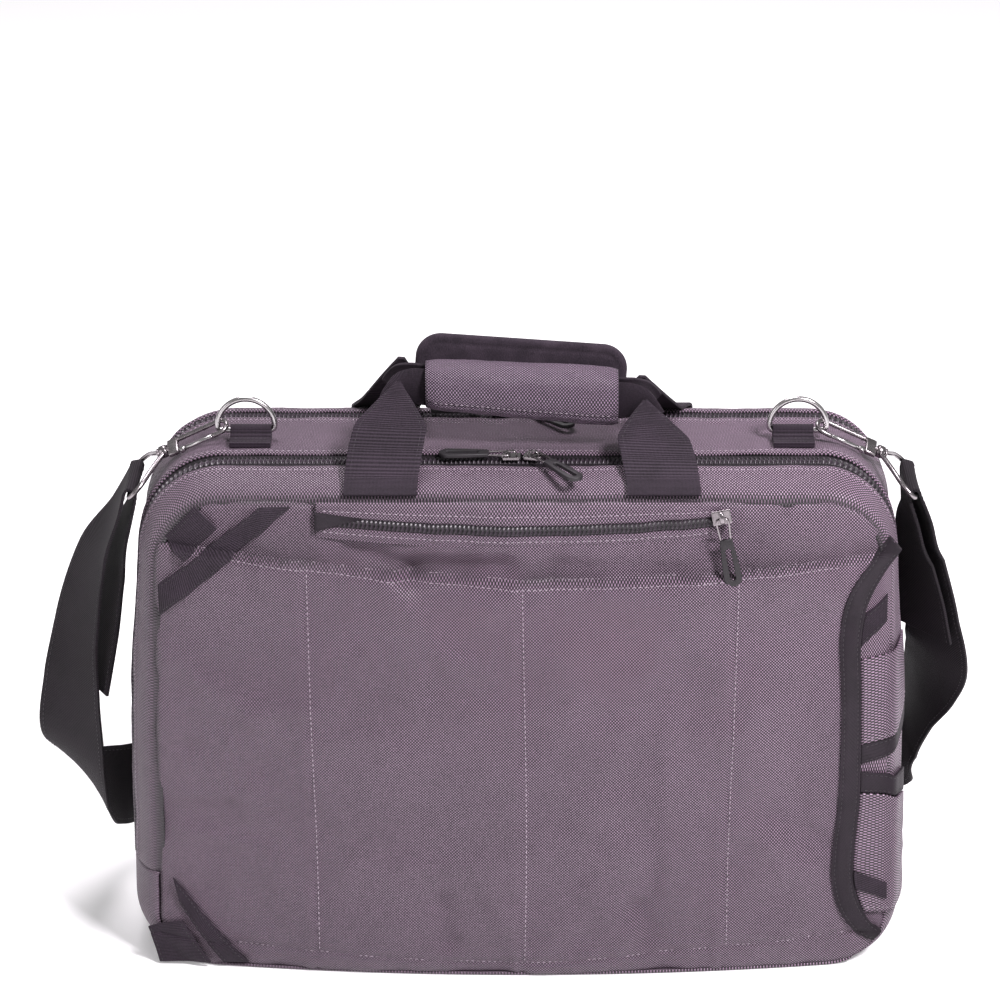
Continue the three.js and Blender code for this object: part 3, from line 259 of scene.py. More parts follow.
low, high = corner.bottom, bag.height - corner.top
flat_low, flat_high = half_width - low, half_width - corner.top
seam_pieces = [
    line_piece(0, 0, -flat_low, 0, 0, -1),
    arc_piece(low, -flat_low, low, -math.pi / 2),
    line_piece(-half_width, low, -half_width, high, -1, 0),
    arc_piece(corner.top, -flat_high, high, math.pi),
    line_piece(-flat_high, bag.height, flat_high, bag.height, 0, 1),
    arc_piece(corner.top, flat_high, high, math.pi / 2),
    line_piece(half_width, high, half_width, low, 1, 0),
    arc_piece(low, flat_low, low, 0),
    line_piece(flat_low, 0, 0, 0, 0, -1),
]
seam_length = sum(length for length, _ in seam_pieces)
zip_start = flat_low + seam_pieces[1][0] + zips.end_height - low
zip_end = seam_length - zip_start
zip_span = (zip_start + gap / 2, zip_end - gap / 2)


def seam_at(distance):
    """The front seam's point and its outward direction, clockwise from the middle of the base."""
    left = min(seam_length, max(0, distance))
    for length, at in seam_pieces:
        if left <= length + 1e-9:
            point = at(left / length)
            point.x *= 1 + bag.flare * (1 - point.z / bag.height)
            point.distance = distance
            return point
        left -= length
    return seam_pieces[0][1](0)


def top_crown(y):
    return crown.top + crown.back_rise * min(1, max(0, 0.5 + y / bag.depth))


def body_point(seam, y, lift):
    share = smooth(0.55, 0.9, seam.z / bag.height)
    ends = (crown.left_low, crown.left_high) if seam.nx < 0 else (crown.right_low, crown.right_high)
    rise = lerp(*ends, share) * seam.nx ** 2 + top_crown(y) * max(0, seam.nz) ** 2
    out = rise * (1 - min(1, abs(y) / half_depth) ** 4) + lift
    return Vector((seam.x + seam.nx * out, y, seam.z + seam.nz * out))


def top_z(y):
    return bag.height + top_crown(y) * (1 - min(1, abs(y) / half_depth) ** 4)


def bulge_at(x, z):
    up = min(1, max(0, z / bag.height))
    return max(0, 1 - (x / half_width) ** 2) * (1 - up ** 2) * (1 + 0.9 * up)


def front_y(x, z):
    return -(half_depth + bulge.front * bulge_at(x, z))


def back_y(x, z):
    return half_depth + bulge.back * bulge_at(x, z)


def ripple(point, size, height):
    """Soft unevenness of the cloth, in millimetres."""
    return height * noise.fractal(Vector(point) / size, 0.9, 2.1, 3)


def dent(distance, width):
    return math.exp(-(distance / width) ** 2)


def fold_height(x, z, fold):
    (x0, z0), (x1, z1), width, height = fold
    dx, dz = x1 - x0, z1 - z0
    share = min(1, max(0, ((x - x0) * dx + (z - z0) * dz) / (dx * dx + dz * dz)))
    away = math.hypot(x - x0 - share * dx, z - z0 - share * dz)
    return height * dent(away, width)


def seam_sway(middle, z):
    """How far an upright seam wanders from its middle at height z."""
    return 1.2 * math.sin(z / 60 + middle)


def front_relief(x, z):
    """How far the front's cloth stands out of the plain bulge."""
    above = z - through(ridge_line, x)
    below_hem = through(hem_line, x) - z
    out = fold_gain * sum(fold_height(x, z, fold) for fold in front_folds)
    out += 2.6 * smooth(1.5, -1.5, above) * math.exp(min(0, above) / 34) if above < 6 else 0
    out -= 3.6 * smooth(-1.5, 2.5, above) * math.exp(-max(0, above) / 22)
    out -= 0.7 * (dent(above - 1.6, 0.9) + dent(above + 1.8, 0.9))
    if above < 1:
        for middle in upright_seams:
            off = x - middle - seam_sway(middle, z)
            out += 1.0 * dent(off + 4, 4) - 1.1 * dent(off, 1.1) - 0.3 * dent(off - 4, 4)
    out += 0.5 * smooth(0, 5, -below_hem) - 0.9 * dent(below_hem, 1.1)
    out += ripple((x, 0, z), 62, 3.4) + ripple((x, 7, z), 19, 0.6)
    pucker = dent(above, 5) + dent(below_hem, 5)
    edge = max(0, edge_distance(x, z))
    out -= pillow.deep * math.exp(-edge / pillow.reach)
    return out + 0.16 * pucker * math.sin(x * 0.9 + 2 * math.sin(x / 23))


def edge_distance(x, z):
    """How far a point of the front lies inside its seam."""
    x = abs(x) / (1 + bag.flare * (1 - z / bag.height))
    radius = corner.top if z > half_height else corner.bottom
    dx, dz = x - (half_width - radius), abs(z - half_height) - (half_height - radius)
    return radius - math.hypot(max(0, dx), max(0, dz)) - min(0, max(dx, dz))


def panel_spot(a, b):
    """Where a point of a square from -1 to 1 goes on the panel: x, z and its distance from the seam."""
    if max(abs(a), abs(b)) < 1e-6:
        b = 1e-6
    r = max(abs(a), abs(b))
    x, z = a / r * half_width, half_height + b / r * half_height
    top = z > half_height
    radius = corner.top if top else corner.bottom
    cx, cz = half_width - radius, bag.height - radius if top else radius
    nx, nz = (math.copysign(1, a), 0) if abs(a) > abs(b) else (0, math.copysign(1, b))
    dx, dz = abs(x) - cx, z - cz
    if dx > 0 and (dz > 0) == top:
        length = math.hypot(dx, dz)
        nx, nz = math.copysign(dx / length, x), dz / length
        x, z = math.copysign(cx, x) + nx * radius, cz + nz * radius
    x *= 1 + bag.flare * (1 - z / bag.height)
    r *= 1.25 - 0.25 * r
    inside = (1 - r) * (nx * x + nz * (z - half_height))
    return x * r, half_height + (z - half_height) * r, inside


# Meshes

def new_bmesh():
    mesh = bmesh.new()
    mesh.loops.layers.uv.new("cloth")
    return mesh


def finish_piece(name, mesh, material, node=None, body="bag"):
    """Makes the object, hides the part that it stands for, and says what it rides on and is made of."""
    data = bpy.data.meshes.new(name)
    for face in mesh.faces:
        face.smooth = True
    mesh.to_mesh(data)
    mesh.free()
    piece = bpy.data.objects.new(name, data)
    bpy.context.scene.collection.objects.link(piece)
    data.materials.append(material.data)
    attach(piece, body)
    if node:
        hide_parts(node)
    return piece


def cloth_grid(columns, rows, place, size, middle=(0, 0, 150), run=None):
    """A grid laid where place(u, v) says, with its map in metres and its faces away from middle.
    run(v) gives the length up to v where that isn't even."""
    mesh = bmesh.new()
    bmesh.ops.create_grid(mesh, x_segments=columns, y_segments=rows, size=0.5)
    layer = mesh.loops.layers.uv.new("cloth")
    for face in mesh.faces:
        for corner_loop in face.loops:
            at = corner_loop.vert.co
            along = run(at.y + 0.5) if run else (at.y + 0.5) * size[1]
            corner_loop[layer].uv = ((at.x + 0.5) * size[0] * MM, along * MM)
    for vert in mesh.verts:
        vert.co = Vector(place(vert.co.x + 0.5, vert.co.y + 0.5)) * MM
    face_away(mesh, Vector(middle) * MM)
    return mesh


def lay_map_flat(mesh):
    """Takes the cloth's map straight from X and Z, so that the weave keeps one pitch."""
    layer = mesh.loops.layers.uv["cloth"]
    for face in mesh.faces:
        for corner_loop in face.loops:
            corner_loop[layer].uv = (corner_loop.vert.co.x, corner_loop.vert.co.z)
    return mesh


def shade_where(mesh, share):
    """Marks painted shade, which darkens the cloth's colour where it lies in the dark of a seam or a fold:
    share(x, y, z) runs from 0 to 1.
    """
    layer = mesh.verts.layers.float.new("shade")
    for vert in mesh.verts:
        vert[layer] = share(*(vert.co / MM))
    return mesh


def face_away(mesh, middle):
    mesh.normal_update()
    away = sum((face.calc_center_median() - middle).dot(face.normal) * face.calc_area() for face in mesh.faces)
    if away < 0:
        bmesh.ops.reverse_faces(mesh, faces=mesh.faces)
        mesh.normal_update()


def thicken(piece, thickness, offset=-1, edge=0):
    """Gives a sheet its thickness, and rounds its edges where edge is more than 0."""
    wall = piece.modifiers.new("wall", "SOLIDIFY")
    wall.thickness = thickness * MM
    wall.offset = offset
    wall.use_even_offset = False
    if edge:
        soften(piece, edge)
    return piece


def soften(piece, width, segments=2, angle=35):
    bevel = piece.modifiers.new("edge", "BEVEL")
    bevel.width = width * MM
    bevel.segments = segments
    bevel.limit_method = "ANGLE"
    bevel.angle_limit = math.radians(angle)
    bevel.harden_normals = False
    return piece


def join_into(mesh, other):
    """Adds another bmesh's faces to this one."""
    data = bpy.data.meshes.new("joined")
    other.to_mesh(data)
    other.free()
    mesh.from_mesh(data)
    bpy.data.meshes.remove(data)
    return mesh


def run_length(points):
    total = [0.0]
    for a, b in zip(points, points[1:]):
        total.append(total[-1] + (b - a).length)
    return total


def row_of(place, steps, start=0.0, end=1.0):
    """The points that place(share) gives for even shares."""
    return [place(lerp(start, end, i / steps)) for i in range(steps + 1)]


def sew(mesh, points, outs, pitch=3.4, length=2.4, width=0.75):
    """A row of stitches along points, each lying flat on the cloth. outs is the way that it faces,
    one for all or one for each point."""
    if isinstance(outs, tuple):
        outs = [Vector(outs)] * len(points)
    total = run_length(points)
    count = max(1, int(total[-1] / pitch))
    k = 0
    for i in range(count):
        at = (i + 0.5) * total[-1] / count
        while total[k + 1] < at:
            k += 1
        share = (at - total[k]) / max(1e-9, total[k + 1] - total[k])
        spot = points[k].lerp(points[k + 1], share)
        along = (points[k + 1] - points[k]).normalized()
        out = outs[k].lerp(outs[k + 1], share)
        out = (out - along * out.dot(along)).normalized()
        side = out.cross(along)
        turn = (Matrix((along * length / 2, side * width / 2, out * width * 0.42)).transposed() * MM).to_4x4()
        place = Matrix.Translation(spot * MM) @ turn
        bmesh.ops.create_icosphere(mesh, subdivisions=1, radius=1, matrix=place)


# Materials

class Flow:
    """A value running through a material's nodes. Sums and products of it add Math nodes."""

    def __init__(self, finish, socket):
        self.finish = finish
        self.socket = socket

    def maths(self, operation, *values):
        return self.finish.node("Math", {"operation": operation}, dict(enumerate(values)))

    def __add__(self, other):
        return self.maths("ADD", self, other)

    def __sub__(self, other):
        return self.maths("SUBTRACT", self, other)

    def __rsub__(self, other):
        return self.maths("SUBTRACT", other, self)

    def __mul__(self, other):
        return self.maths("MULTIPLY", self, other)

    def __truediv__(self, other):
        return self.maths("DIVIDE", self, other)

    def __pow__(self, other):
        return self.maths("POWER", self, other)

    def __abs__(self):
        return self.maths("ABSOLUTE", self)

    __radd__, __rmul__ = __add__, __mul__

    def wave(self, length):
        """A sine that repeats every so many millimetres."""
        return self.maths("SINE", self * (2 * math.pi / length))

    def held(self):
        return self.finish.node("Clamp", {}, {"Value": self})


class Finish:
    """One material: its nodes, and the slot that it belongs to."""

    def __init__(self, name, slot, roughness, metallic=0.0, **sockets):
        self.data = bpy.data.materials.new(name)
        self.data.use_nodes = True
        self.tree = self.data.node_tree
        self.shader = self.tree.nodes["Principled BSDF"]
        self.slot = slot
        self.shader.inputs["Roughness"].default_value = roughness
        self.shader.inputs["Metallic"].default_value = metallic
        for key, value in sockets.items():
            self.shader.inputs[key.replace("_", " ")].default_value = value

    def node(self, kind, settings, values, output=0):
        made = self.tree.nodes.new("ShaderNode" + kind)
        for key, value in settings.items():
            setattr(made, key, value)
        for key, value in values.items():
            if isinstance(value, Flow):
                self.tree.links.new(value.socket, made.inputs[key])
            else:
                made.inputs[key].default_value = value
        return Flow(self, made.outputs[output])

    def parts(self, vector):
        return [self.node("SeparateXYZ", {}, {0: vector}, k) for k in range(3)]

    def vector(self, x, y, z=0.0):
        return self.node("CombineXYZ", {}, {0: x, 1: y, 2: z})

    def place(self):
        """The object's own coordinates, in millimetres."""
        return [part * 1000 for part in self.parts(self.node("TexCoord", {}, {}, 3))]

    def cloth(self):
        """Across and along the cloth, in millimetres."""
        across, along, _ = self.parts(self.node("UVMap", {"uv_map": "cloth"}, {}))
        return across * 1000, along * 1000

    def cloud(self, x, y, z, size, detail=2.0):
        """Noise from 0 to 1 whose blots are about size millimetres wide."""
        return self.node("TexNoise", {},
                         {"Vector": self.vector(x, y, z), "Scale": 1 / size, "Detail": detail})

    def blend(self, share, dark, light):
        return self.node("Mix", {"data_type": "RGBA"}, {0: share, 6: (*dark, 1), 7: (*light, 1)}, 2)

    def feed(self, name, flow):
        self.tree.links.new(flow.socket, self.shader.inputs[name])

    def emboss(self, height, depth, strength=1.0):
        """height from 0 to 1 becomes relief of depth millimetres."""
        bump = self.node("Bump", {}, {"Height": height, "Distance": depth * MM, "Strength": strength})
        self.feed("Normal", bump)


def ballistic(name, dark, light, pitch=1.55, depth=0.32, grime=0.06):
    """Coarse plain-woven nylon: light crossings, darker between, partly the weave and partly painted highlight
    and shade; uneven thread; painted shade where the shade attribute marks seams and folds; and a painted sheen
    that strengthens the weave towards the right and the top.
    """
    made = Finish(name, "fabric", 0.6, Sheen_Weight=0.02, Specular_IOR_Level=0.65)
    u, v = made.cloth()
    x, y, z = made.place()
    drift = made.cloud(x, y, z, 26, 1.0) * 0.5
    across, along = (u + drift).wave(pitch), (v + drift).wave(pitch)
    crossing = (across * along * 0.85 + 0.5).held()
    warp = made.cloud(u * 2.2, v * 0.10, 0.0, 1.0, 1.0)
    weft = made.cloud(u * 0.10, v * 2.2, 5.0, 1.0, 1.0)
    fuzz = made.cloud(x, y, z, 0.9, 1.0)
    patch = made.cloud(x, y, z, 42, 3.0)
    # Painted shade: the colour darkens where the mesh's shade attribute marks the dark of a seam or fold.
    lit = 1 - made.node("Attribute", {"attribute_name": "shade"}, {}, 2)
    # Painted sheen: the weave's contrast grows towards the right, towards the top and in soft patches, standing
    # in for the lamps' glint on the yarn.
    painted_sheen = 1.15 + x / 380 + (z - 170) / 420 + (patch - 0.5) * 0.8
    # Light crossings and dark gaps: partly the weave's own look, partly painted highlight on the yarn and painted
    # shade between it.
    tone = 0.215 + (crossing ** 1.9 - 0.36) * 0.6 * painted_sheen
    tone = tone + (warp + weft - 1.0) * 0.18 + (fuzz - 0.5) * 0.1 + (patch - 0.5) * grime
    made.feed("Base Color", made.blend(tone.held() * lit, dark, light))
    made.feed("Roughness", 0.66 - crossing * 0.26)
    made.emboss(crossing * 0.8 + (warp + weft) * 0.2, depth)
    return made


def ribbed_webbing(name, dark, light, rib=1.25, column=2.1, depth=0.3):
    """Black webbing: fine ribs across it, broken into columns of yarn, with dusty high spots."""
    made = Finish(name, "webbing", 0.7, Sheen_Weight=0.02, Specular_IOR_Level=0.22)
    u, v = made.cloth()
    x, y, z = made.place()
    ribs = v.wave(rib) * 0.5 + 0.5
    columns = abs(u.wave(2 * column))
    fuzz = made.cloud(x, y, z, 0.8, 1.0)
    dust = made.cloud(x, y, z, 18, 3.0)
    tone = ribs * 0.42 + columns * 0.1 + (fuzz - 0.5) * 0.6 + (dust - 0.5) * 0.5 + 0.14
    made.feed("Base Color", made.blend(tone.held(), dark, light))
    made.feed("Roughness", 0.82 - ribs * 0.18)
    made.emboss(ribs * 0.88 + columns * 0.12, depth)
    return made


def fine_twill(name, dark, light, pitch=0.95, slot="webbing"):
    """Fine black twill of bindings and zip tapes."""
    made = Finish(name, slot, 0.66, Sheen_Weight=0.02, Specular_IOR_Level=0.25)
    u, v = made.cloth()
    x, y, z = made.place()
    twill = (u + v).wave(pitch) * 0.5 + 0.5
    dust = made.cloud(x, y, z, 12, 3.0)
    fuzz = made.cloud(x, y, z, 0.7, 1.0)
    tone = twill * 0.4 + (dust - 0.5) * 0.5 + (fuzz - 0.5) * 0.5 + 0.2
    made.feed("Base Color", made.blend(tone.held(), dark, light))
    made.feed("Roughness", 0.78 - twill * 0.2)
    made.emboss(twill, 0.16)
    return made


def brushed_felt(name, dark, light):
    """The grip flap's short nap: no weave, fine fibres and soft patches."""
    made = Finish(name, "webbing", 0.92, Sheen_Weight=0.06, Sheen_Roughness=0.5, Specular_IOR_Level=0.2)
    x, y, z = made.place()
    fibre = made.cloud(x * 1.6, y, z * 0.6, 0.7, 3.0)
    patch = made.cloud(x, y, z, 9, 3.0)
    tone = (fibre - 0.5) * 0.9 + (patch - 0.5) * 0.7 + 0.42
    made.feed("Base Color", made.blend(tone.held(), dark, light))
    made.emboss(fibre, 0.35)
    return made


def nylon_coil(name, dark, light):
    made = Finish(name, "coil", 0.42, Specular_IOR_Level=0.5)
    u, v = made.cloth()
    x, y, z = made.place()
    turn = (u + abs(v - 3.0) * 0.5).wave(2.6) * 0.5 + 0.5
    dust = made.cloud(x, y, z, 8, 2.0)
    # Painted highlight: each tooth's turn is lighter in colour, with random dust over it.
    made.feed("Base Color", made.blend((turn * 0.6 + dust * 0.5 - 0.2).held(), dark, light))
    made.feed("Roughness", 0.55 - turn * 0.2)
    made.emboss(turn, 0.25)
    return made


def moulded_rubber(name, dark, light):
    made = Finish(name, "rubber", 0.48, Specular_IOR_Level=0.45)
    x, y, z = made.place()
    grain = made.cloud(x, y, z, 0.5, 2.0)
    wear = made.cloud(x, y, z, 6, 3.0)
    made.feed("Base Color", made.blend((wear * 0.7 + (grain - 0.5) * 0.3).held(), dark, light))
    made.feed("Roughness", 0.4 + wear * 0.25)
    made.emboss(grain, 0.05)
    return made


def plated_metal(name, colour, dull, roughness):
    """Plated wire: small scratches along it, duller where hands rub it."""
    made = Finish(name, "metal", roughness, 1.0)
    x, y, z = made.place()
    rub = made.cloud(x, y, z, 7, 3.0)
    scratch = made.cloud(x * 0.2, y * 4, z * 4, 1.0, 2.0)
    made.feed("Base Color", made.blend((rub * 0.9 + (scratch - 0.5) * 0.4).held(), dull, colour))
    made.feed("Roughness", roughness + rub * 0.12 + (scratch - 0.5) * 0.08)
    made.emboss(scratch, 0.02)
    return made


def sewing_thread(name, slot, dark, light):
    made = Finish(name, slot, 0.6, Sheen_Weight=0.04)
    x, y, z = made.place()
    twist = (x + y + z).wave(0.7) * 0.5 + 0.5
    lot = made.cloud(x, y, z, 5, 1.0)
    made.feed("Base Color", made.blend((twist * 0.4 + lot * 0.6).held(), dark, light))
    made.emboss(twist, 0.1)
    return made


grey_nylon = ballistic("grey_ballistic_nylon", (0.006, 0.004, 0.006), (0.385, 0.252, 0.362), 1.85, 0.8)
inner_nylon = ballistic("corner_nylon", (0.006, 0.004, 0.006), (0.380, 0.249, 0.357), 1.7, 0.7)
grip_nylon = ballistic("grip_nylon", (0.005, 0.003, 0.006), (0.330, 0.215, 0.325), 1.9, 0.9)
black_webbing = ribbed_webbing("black_webbing", (0.005, 0.0035, 0.005), (0.045, 0.030, 0.046))
strap_webbing = ribbed_webbing("shoulder_webbing", (0.003, 0.002, 0.003), (0.018, 0.012, 0.018),
                               1.1, 1.7, 0.25)
black_binding = fine_twill("black_binding", (0.004, 0.0028, 0.004), (0.030, 0.020, 0.030))
zip_tape = fine_twill("zip_tape", (0.003, 0.002, 0.003), (0.018, 0.012, 0.018), 0.9, "coil")
coil_black = nylon_coil("zip_coil", (0.003, 0.002, 0.003), (0.050, 0.035, 0.050))
flap_felt = brushed_felt("grip_felt", (0.008, 0.006, 0.009), (0.062, 0.045, 0.062))
pull_rubber = moulded_rubber("pull_rubber", (0.005, 0.004, 0.005), (0.030, 0.025, 0.030))
nickel = plated_metal("bright_nickel", (0.62, 0.60, 0.60), (0.38, 0.36, 0.37), 0.18)
gunmetal = plated_metal("gunmetal", (0.42, 0.39, 0.40), (0.16, 0.14, 0.15), 0.2)
grey_thread = sewing_thread("grey_thread", "fabric", (0.20, 0.16, 0.19), (0.44, 0.37, 0.43))
black_thread = sewing_thread("black_thread", "webbing", (0.008, 0.006, 0.008), (0.045, 0.036, 0.044))


# The cut corner's curve, from the top down

cut_points = [Vector((x * half_width, 0, z * bag.height)) for x, z, _ in cut_edge]
cut_widths = [Vector((width, 0, 0)) for _, _, width in cut_edge]


def cut_at(t):
    """The cut's edge, the way into the D and the binding's width there."""
    point = curve_at(cut_points, t)
    along = (curve_at(cut_points, min(1, t + 0.004)) - curve_at(cut_points, max(0, t - 0.004))).normalized()
    return point, Vector((-along.z, 0, along.x)), curve_at(cut_widths, t).x


cut_line = row_of(cut_at, 80)
inner_line = [point + toward * width for point, toward, width in cut_line]


def into_cut(x, z):
    """How far a point lies inside the D, less than 0 outside it."""
    here = Vector((x, 0, z))
    point, toward, _ = min(cut_line, key=lambda row: (row[0] - here).length_squared)
    return (here - point).dot(toward)


def inner_binding_x(z):
    for a, b in zip(inner_line, inner_line[1:]):
        if b.z <= z <= a.z:
            return lerp(a.x, b.x, (a.z - z) / max(1e-6, a.z - b.z))
    return inner_line[0].x


def seam_at_height(z):
    near, far = seam_length / 2, seam_length
    for _ in range(30):
        middle = (near + far) / 2
        near, far = (middle, far) if seam_at(middle).z > z else (near, middle)
    return seam_at(near)


def face_point(x, z, out=0.0):
    """A point in front of the front's cloth."""
    return Vector((x, front_y(x, z) - front_relief(x, z) - out, z))


# Body panels

def front_place(u, v):
    x, z, inside = panel_spot(2 * u - 1, 2 * v - 1)
    point = face_point(x, z)
    point.y += seam_tuck.deep * dent(inside, seam_tuck.reach)
    return point


def panel_shade(x, y, z):
    """Painted shade in the seam round the front, and where the cloth folds in above the ridge."""
    above = z - through(ridge_line, x)
    ridge_shade = 0.35 + ripple((x, 0, 0), 40, 0.5)
    # Painted shade above the ridge, fading upwards, its strength wandering along the front.
    fold = ridge_shade * math.exp(-above / 9) if above > 0.5 else 0
    return min(1, dent(edge_distance(x, z), 1.7) + fold)


def is_cut_away(face):
    if face.calc_center_median().x < cut_away.beyond * MM:
        return False
    return all(into_cut(vert.co.x / MM, vert.co.z / MM) > cut_away.inside for vert in face.verts)


def make_front_panel():
    mesh = lay_map_flat(cloth_grid(190, 136, front_place, (bag.width, bag.height)))
    shade_where(mesh, panel_shade)
    bmesh.ops.delete(mesh, geom=[face for face in mesh.faces if is_cut_away(face)], context="FACES")
    thicken(finish_piece("front_panel_cloth", mesh, grey_nylon, "front_panel"), cloth_wall)


def corner_place(u, v):
    point, toward, _ = cut_at(v)
    start = point + toward * 3
    seam = seam_at_height(min(start.z, high + corner.top - 4))
    x, z = lerp(start.x, max(start.x + 1, seam.x - 0.5), u), start.z
    rise = ripple((x, 3, z), 22, 0.5)
    return Vector((x, front_y(x, z) + edge_depth - 0.6 - rise + 1.6 * dent(seam.x - x, 3), z))


def make_corner_panel():
    mesh = cloth_grid(24, 120, corner_place, (30, 240))
    thicken(finish_piece("corner_cloth", mesh, inner_nylon, "corner_panel"), thin_wall)


def binding_place(u, v):
    point, toward, width = cut_at(v)
    spot = point + toward * width * u
    sewn = sum(dent((u - row) * width, 0.8) for row in binding_rows)
    swell = 1.2 + 0.7 * (1 - (2 * u - 1) ** 2) - 0.5 * sewn
    fade = smooth(width * 0.9, 0, width * u)
    return Vector((spot.x, front_y(spot.x, spot.z) - front_relief(spot.x, spot.z) * fade - swell, spot.z))


def make_binding():
    mesh = cloth_grid(14, 150, binding_place, (12, 260))
    thicken(finish_piece("cut_binding", mesh, black_binding, "edge_binding"), 3.0, edge=0.5)
    thread = new_bmesh()
    for row in binding_rows:
        points = [binding_place(row, i / 120) + Vector((0, -0.15, 0)) for i in range(2, 119)]
        sew(thread, points, forward, 3.0, 2.1, 0.6)
    finish_piece("binding_stitches", thread, black_thread)


def back_cloth_y(x, z):
    return back_y(x, z) + ripple((x, 50, z), 60, 1.2)


def back_place(u, v):
    x, z, inside = panel_spot(1 - 2 * u, 2 * v - 1)
    return Vector((x, back_cloth_y(x, z) - 2.0 * dent(inside, 3.5) - 0.4 * dent(inside - back_row, 1.2), z))


def back_row_place(share):
    seam = seam_at(share * seam_length)
    x, z = seam.x - seam.nx * back_row, seam.z - seam.nz * back_row
    return Vector((x, back_cloth_y(x, z) - 0.25, z))


def make_back_panel():
    mesh = lay_map_flat(cloth_grid(110, 84, back_place, (bag.width, bag.height)))
    thicken(finish_piece("back_panel_cloth", mesh, grey_nylon, "back_panel"), cloth_wall)
    thread = new_bmesh()
    sew(thread, row_of(back_row_place, 300), (0, 1, 0))
    finish_piece("back_stitches", thread, grey_thread)


# Bands round the bag

def gusset_lift(seam, y, seam_y, zip_ys, salt):
    """Relief of a gusset: tucked into its seam, hemmed and stitched beside each zip."""
    lift = -1.4 * dent(y - seam_y, 4.2) - 4.6 * dent(y - seam_y, 1.5) if seam_y is not None else 0
    for zip_y in zip_ys:
        away = abs(y - zip_y)
        lift += 0.9 * smooth(8.5, 4.5, away) - 1.2 * dent(away, 0.9) - 0.6 * dent(away - zip_row, 0.9)
    soft = 0.25 if seam.nx > 0.4 else 0.75
    spot = (seam.x, y + salt, seam.z)
    return lift + ripple(spot, 34, soft) + ripple(spot, 12, soft * 0.28)


def at_front(seam):
    return front_y(seam.x, seam.z) + edge_depth


def at_back(seam):
    return back_y(seam.x, seam.z) - edge_depth


def make_gusset(node, edges, seam_of, shade_reach, zip_ys, rows, salt):
    """One gusset. edges gives its two depths, and seam_of the depth of the panel's seam that it meets."""
    def place(u, v):
        seam = seam_at(lerp(*zip_span, u))
        y = lerp(*edges(seam), v)
        seam_y = seam_of(seam) if seam_of else None
        return body_point(seam, y, gusset_lift(seam, y, seam_y, zip_ys, salt))

    # Painted shade along the seam where the gusset tucks in behind the panel.
    def shade(x, y, z):
        return dent(y - seam_of(Sizes(x=x, z=min(z, bag.height))), shade_reach)
    near, far = edges(seam_at(zip_span[0]))
    mesh = cloth_grid(230, rows, place, (zip_span[1] - zip_span[0], abs(far - near)))
    if seam_of:
        shade_where(mesh, shade)
    thicken(finish_piece(node + "_cloth", mesh, grey_nylon, node), cloth_wall)


def make_gussets():
    lap = gap - zip_lap
    front_start, front_end = front_zip_y - lap, front_zip_y + zips.width + lap
    back_start, back_end = back_zip_y - lap, back_zip_y + zips.width + lap
    between = (front_end, back_start)
    make_gusset("front_gusset", lambda seam: (at_front(seam), front_start), at_front, 1.9, [front_start], 22, 0)
    make_gusset("middle_gusset", lambda seam: between, None, 0, between, 44, 90)
    make_gusset("back_gusset", lambda seam: (back_end, at_back(seam)), at_back, 1.6, [back_end], 22, 170)
    thread = new_bmesh()
    rows = [(front_start - zip_row, [front_start], 0), (front_end + zip_row, between, 90),
            (back_start - zip_row, between, 90), (back_end + zip_row, [back_end], 170)]
    seams = row_of(seam_at, 399, zip_span[0] + 2, zip_span[1] - 2)
    outs = [Vector((seam.nx, 0, seam.nz)) for seam in seams]
    for y, zip_ys, salt in rows:
        points = [body_point(seam, y, gusset_lift(seam, y, None, zip_ys, salt) + 0.1) for seam in seams]
        sew(thread, points, outs)
    finish_piece("gusset_stitches", thread, grey_thread)


def make_base():
    span = zip_start - gap / 2
    total = 2 * span

    def place(u, v):
        distance = lerp(-span, span, u)
        seam = seam_at(-distance if distance < 0 else seam_length - distance)
        y0, y1 = at_front(seam), at_back(seam)
        y = lerp(y0, y1, v)
        soft = smooth(0.02, 0.3, seam.z / bag.height) * 0.5
        tuck = 1.8 if seam.nz > -0.9 else 0.72
        near_end = span - abs(distance)
        lift = ripple((seam.x, y, seam.z), 30, soft) - tuck * (dent(y - y0, 2.6) + dent(y - y1, 2.6))
        lift -= 0.8 * dent(near_end, 1.0) + 0.4 * dent(near_end - base_row, 0.8)
        point = body_point(seam, y, lift)
        point.z = max(0.05, point.z)
        return point
    mesh = cloth_grid(240, 56, place, (total, bag.depth))
    thicken(finish_piece("base_cloth", mesh, grey_nylon, "bottom_gusset"), cloth_wall)
    thread = new_bmesh()
    for u, side in ((base_row / total, -1), (1 - base_row / total, 1)):
        sew(thread, row_of(lambda v: place(u, v), 60, 0.03, 0.97), (side, 0, 0), 2.8, 2.0, 0.7)
    finish_piece("base_stitches", thread, grey_thread)


def coil_height(u, side, teeth, tall, split):
    """Height of a zip's coil: a ridge for each tooth, and a dent where the two halves meet."""
    ridge = 0.5 + 0.5 * math.cos(2 * math.pi * (u * teeth + 0.5 * abs(side)))
    return max(0, 1 - side ** 4) ** 0.5 * (0.2 + tall * ridge) - split * dent(side, 0.14)


def make_long_zip(node, y_start):
    start, end = zip_span
    middle = y_start + zips.width / 2
    teeth = round((end - start) / tooth_pitch)

    def tape(u, v):
        y = lerp(y_start - zip_lap, y_start + zips.width + zip_lap, v)
        return body_point(seam_at(lerp(start, end, u)), y, -1.0 - 0.25 * dent(y - middle, 4))

    def coil(u, v):
        side = 2 * v - 1
        lift = coil_height(u, side, teeth, 1.6, 0.35) - 1.0
        return body_point(seam_at(lerp(start, end, u)), middle + side * 3.1, lift)
    mesh = cloth_grid(230, 6, tape, (end - start, zips.width))
    thicken(finish_piece(node + "_tape", mesh, zip_tape, node), tape_wall)
    finish_piece(node + "_coil", cloth_grid(teeth * 6, 10, coil, (end - start, 6)), coil_black)


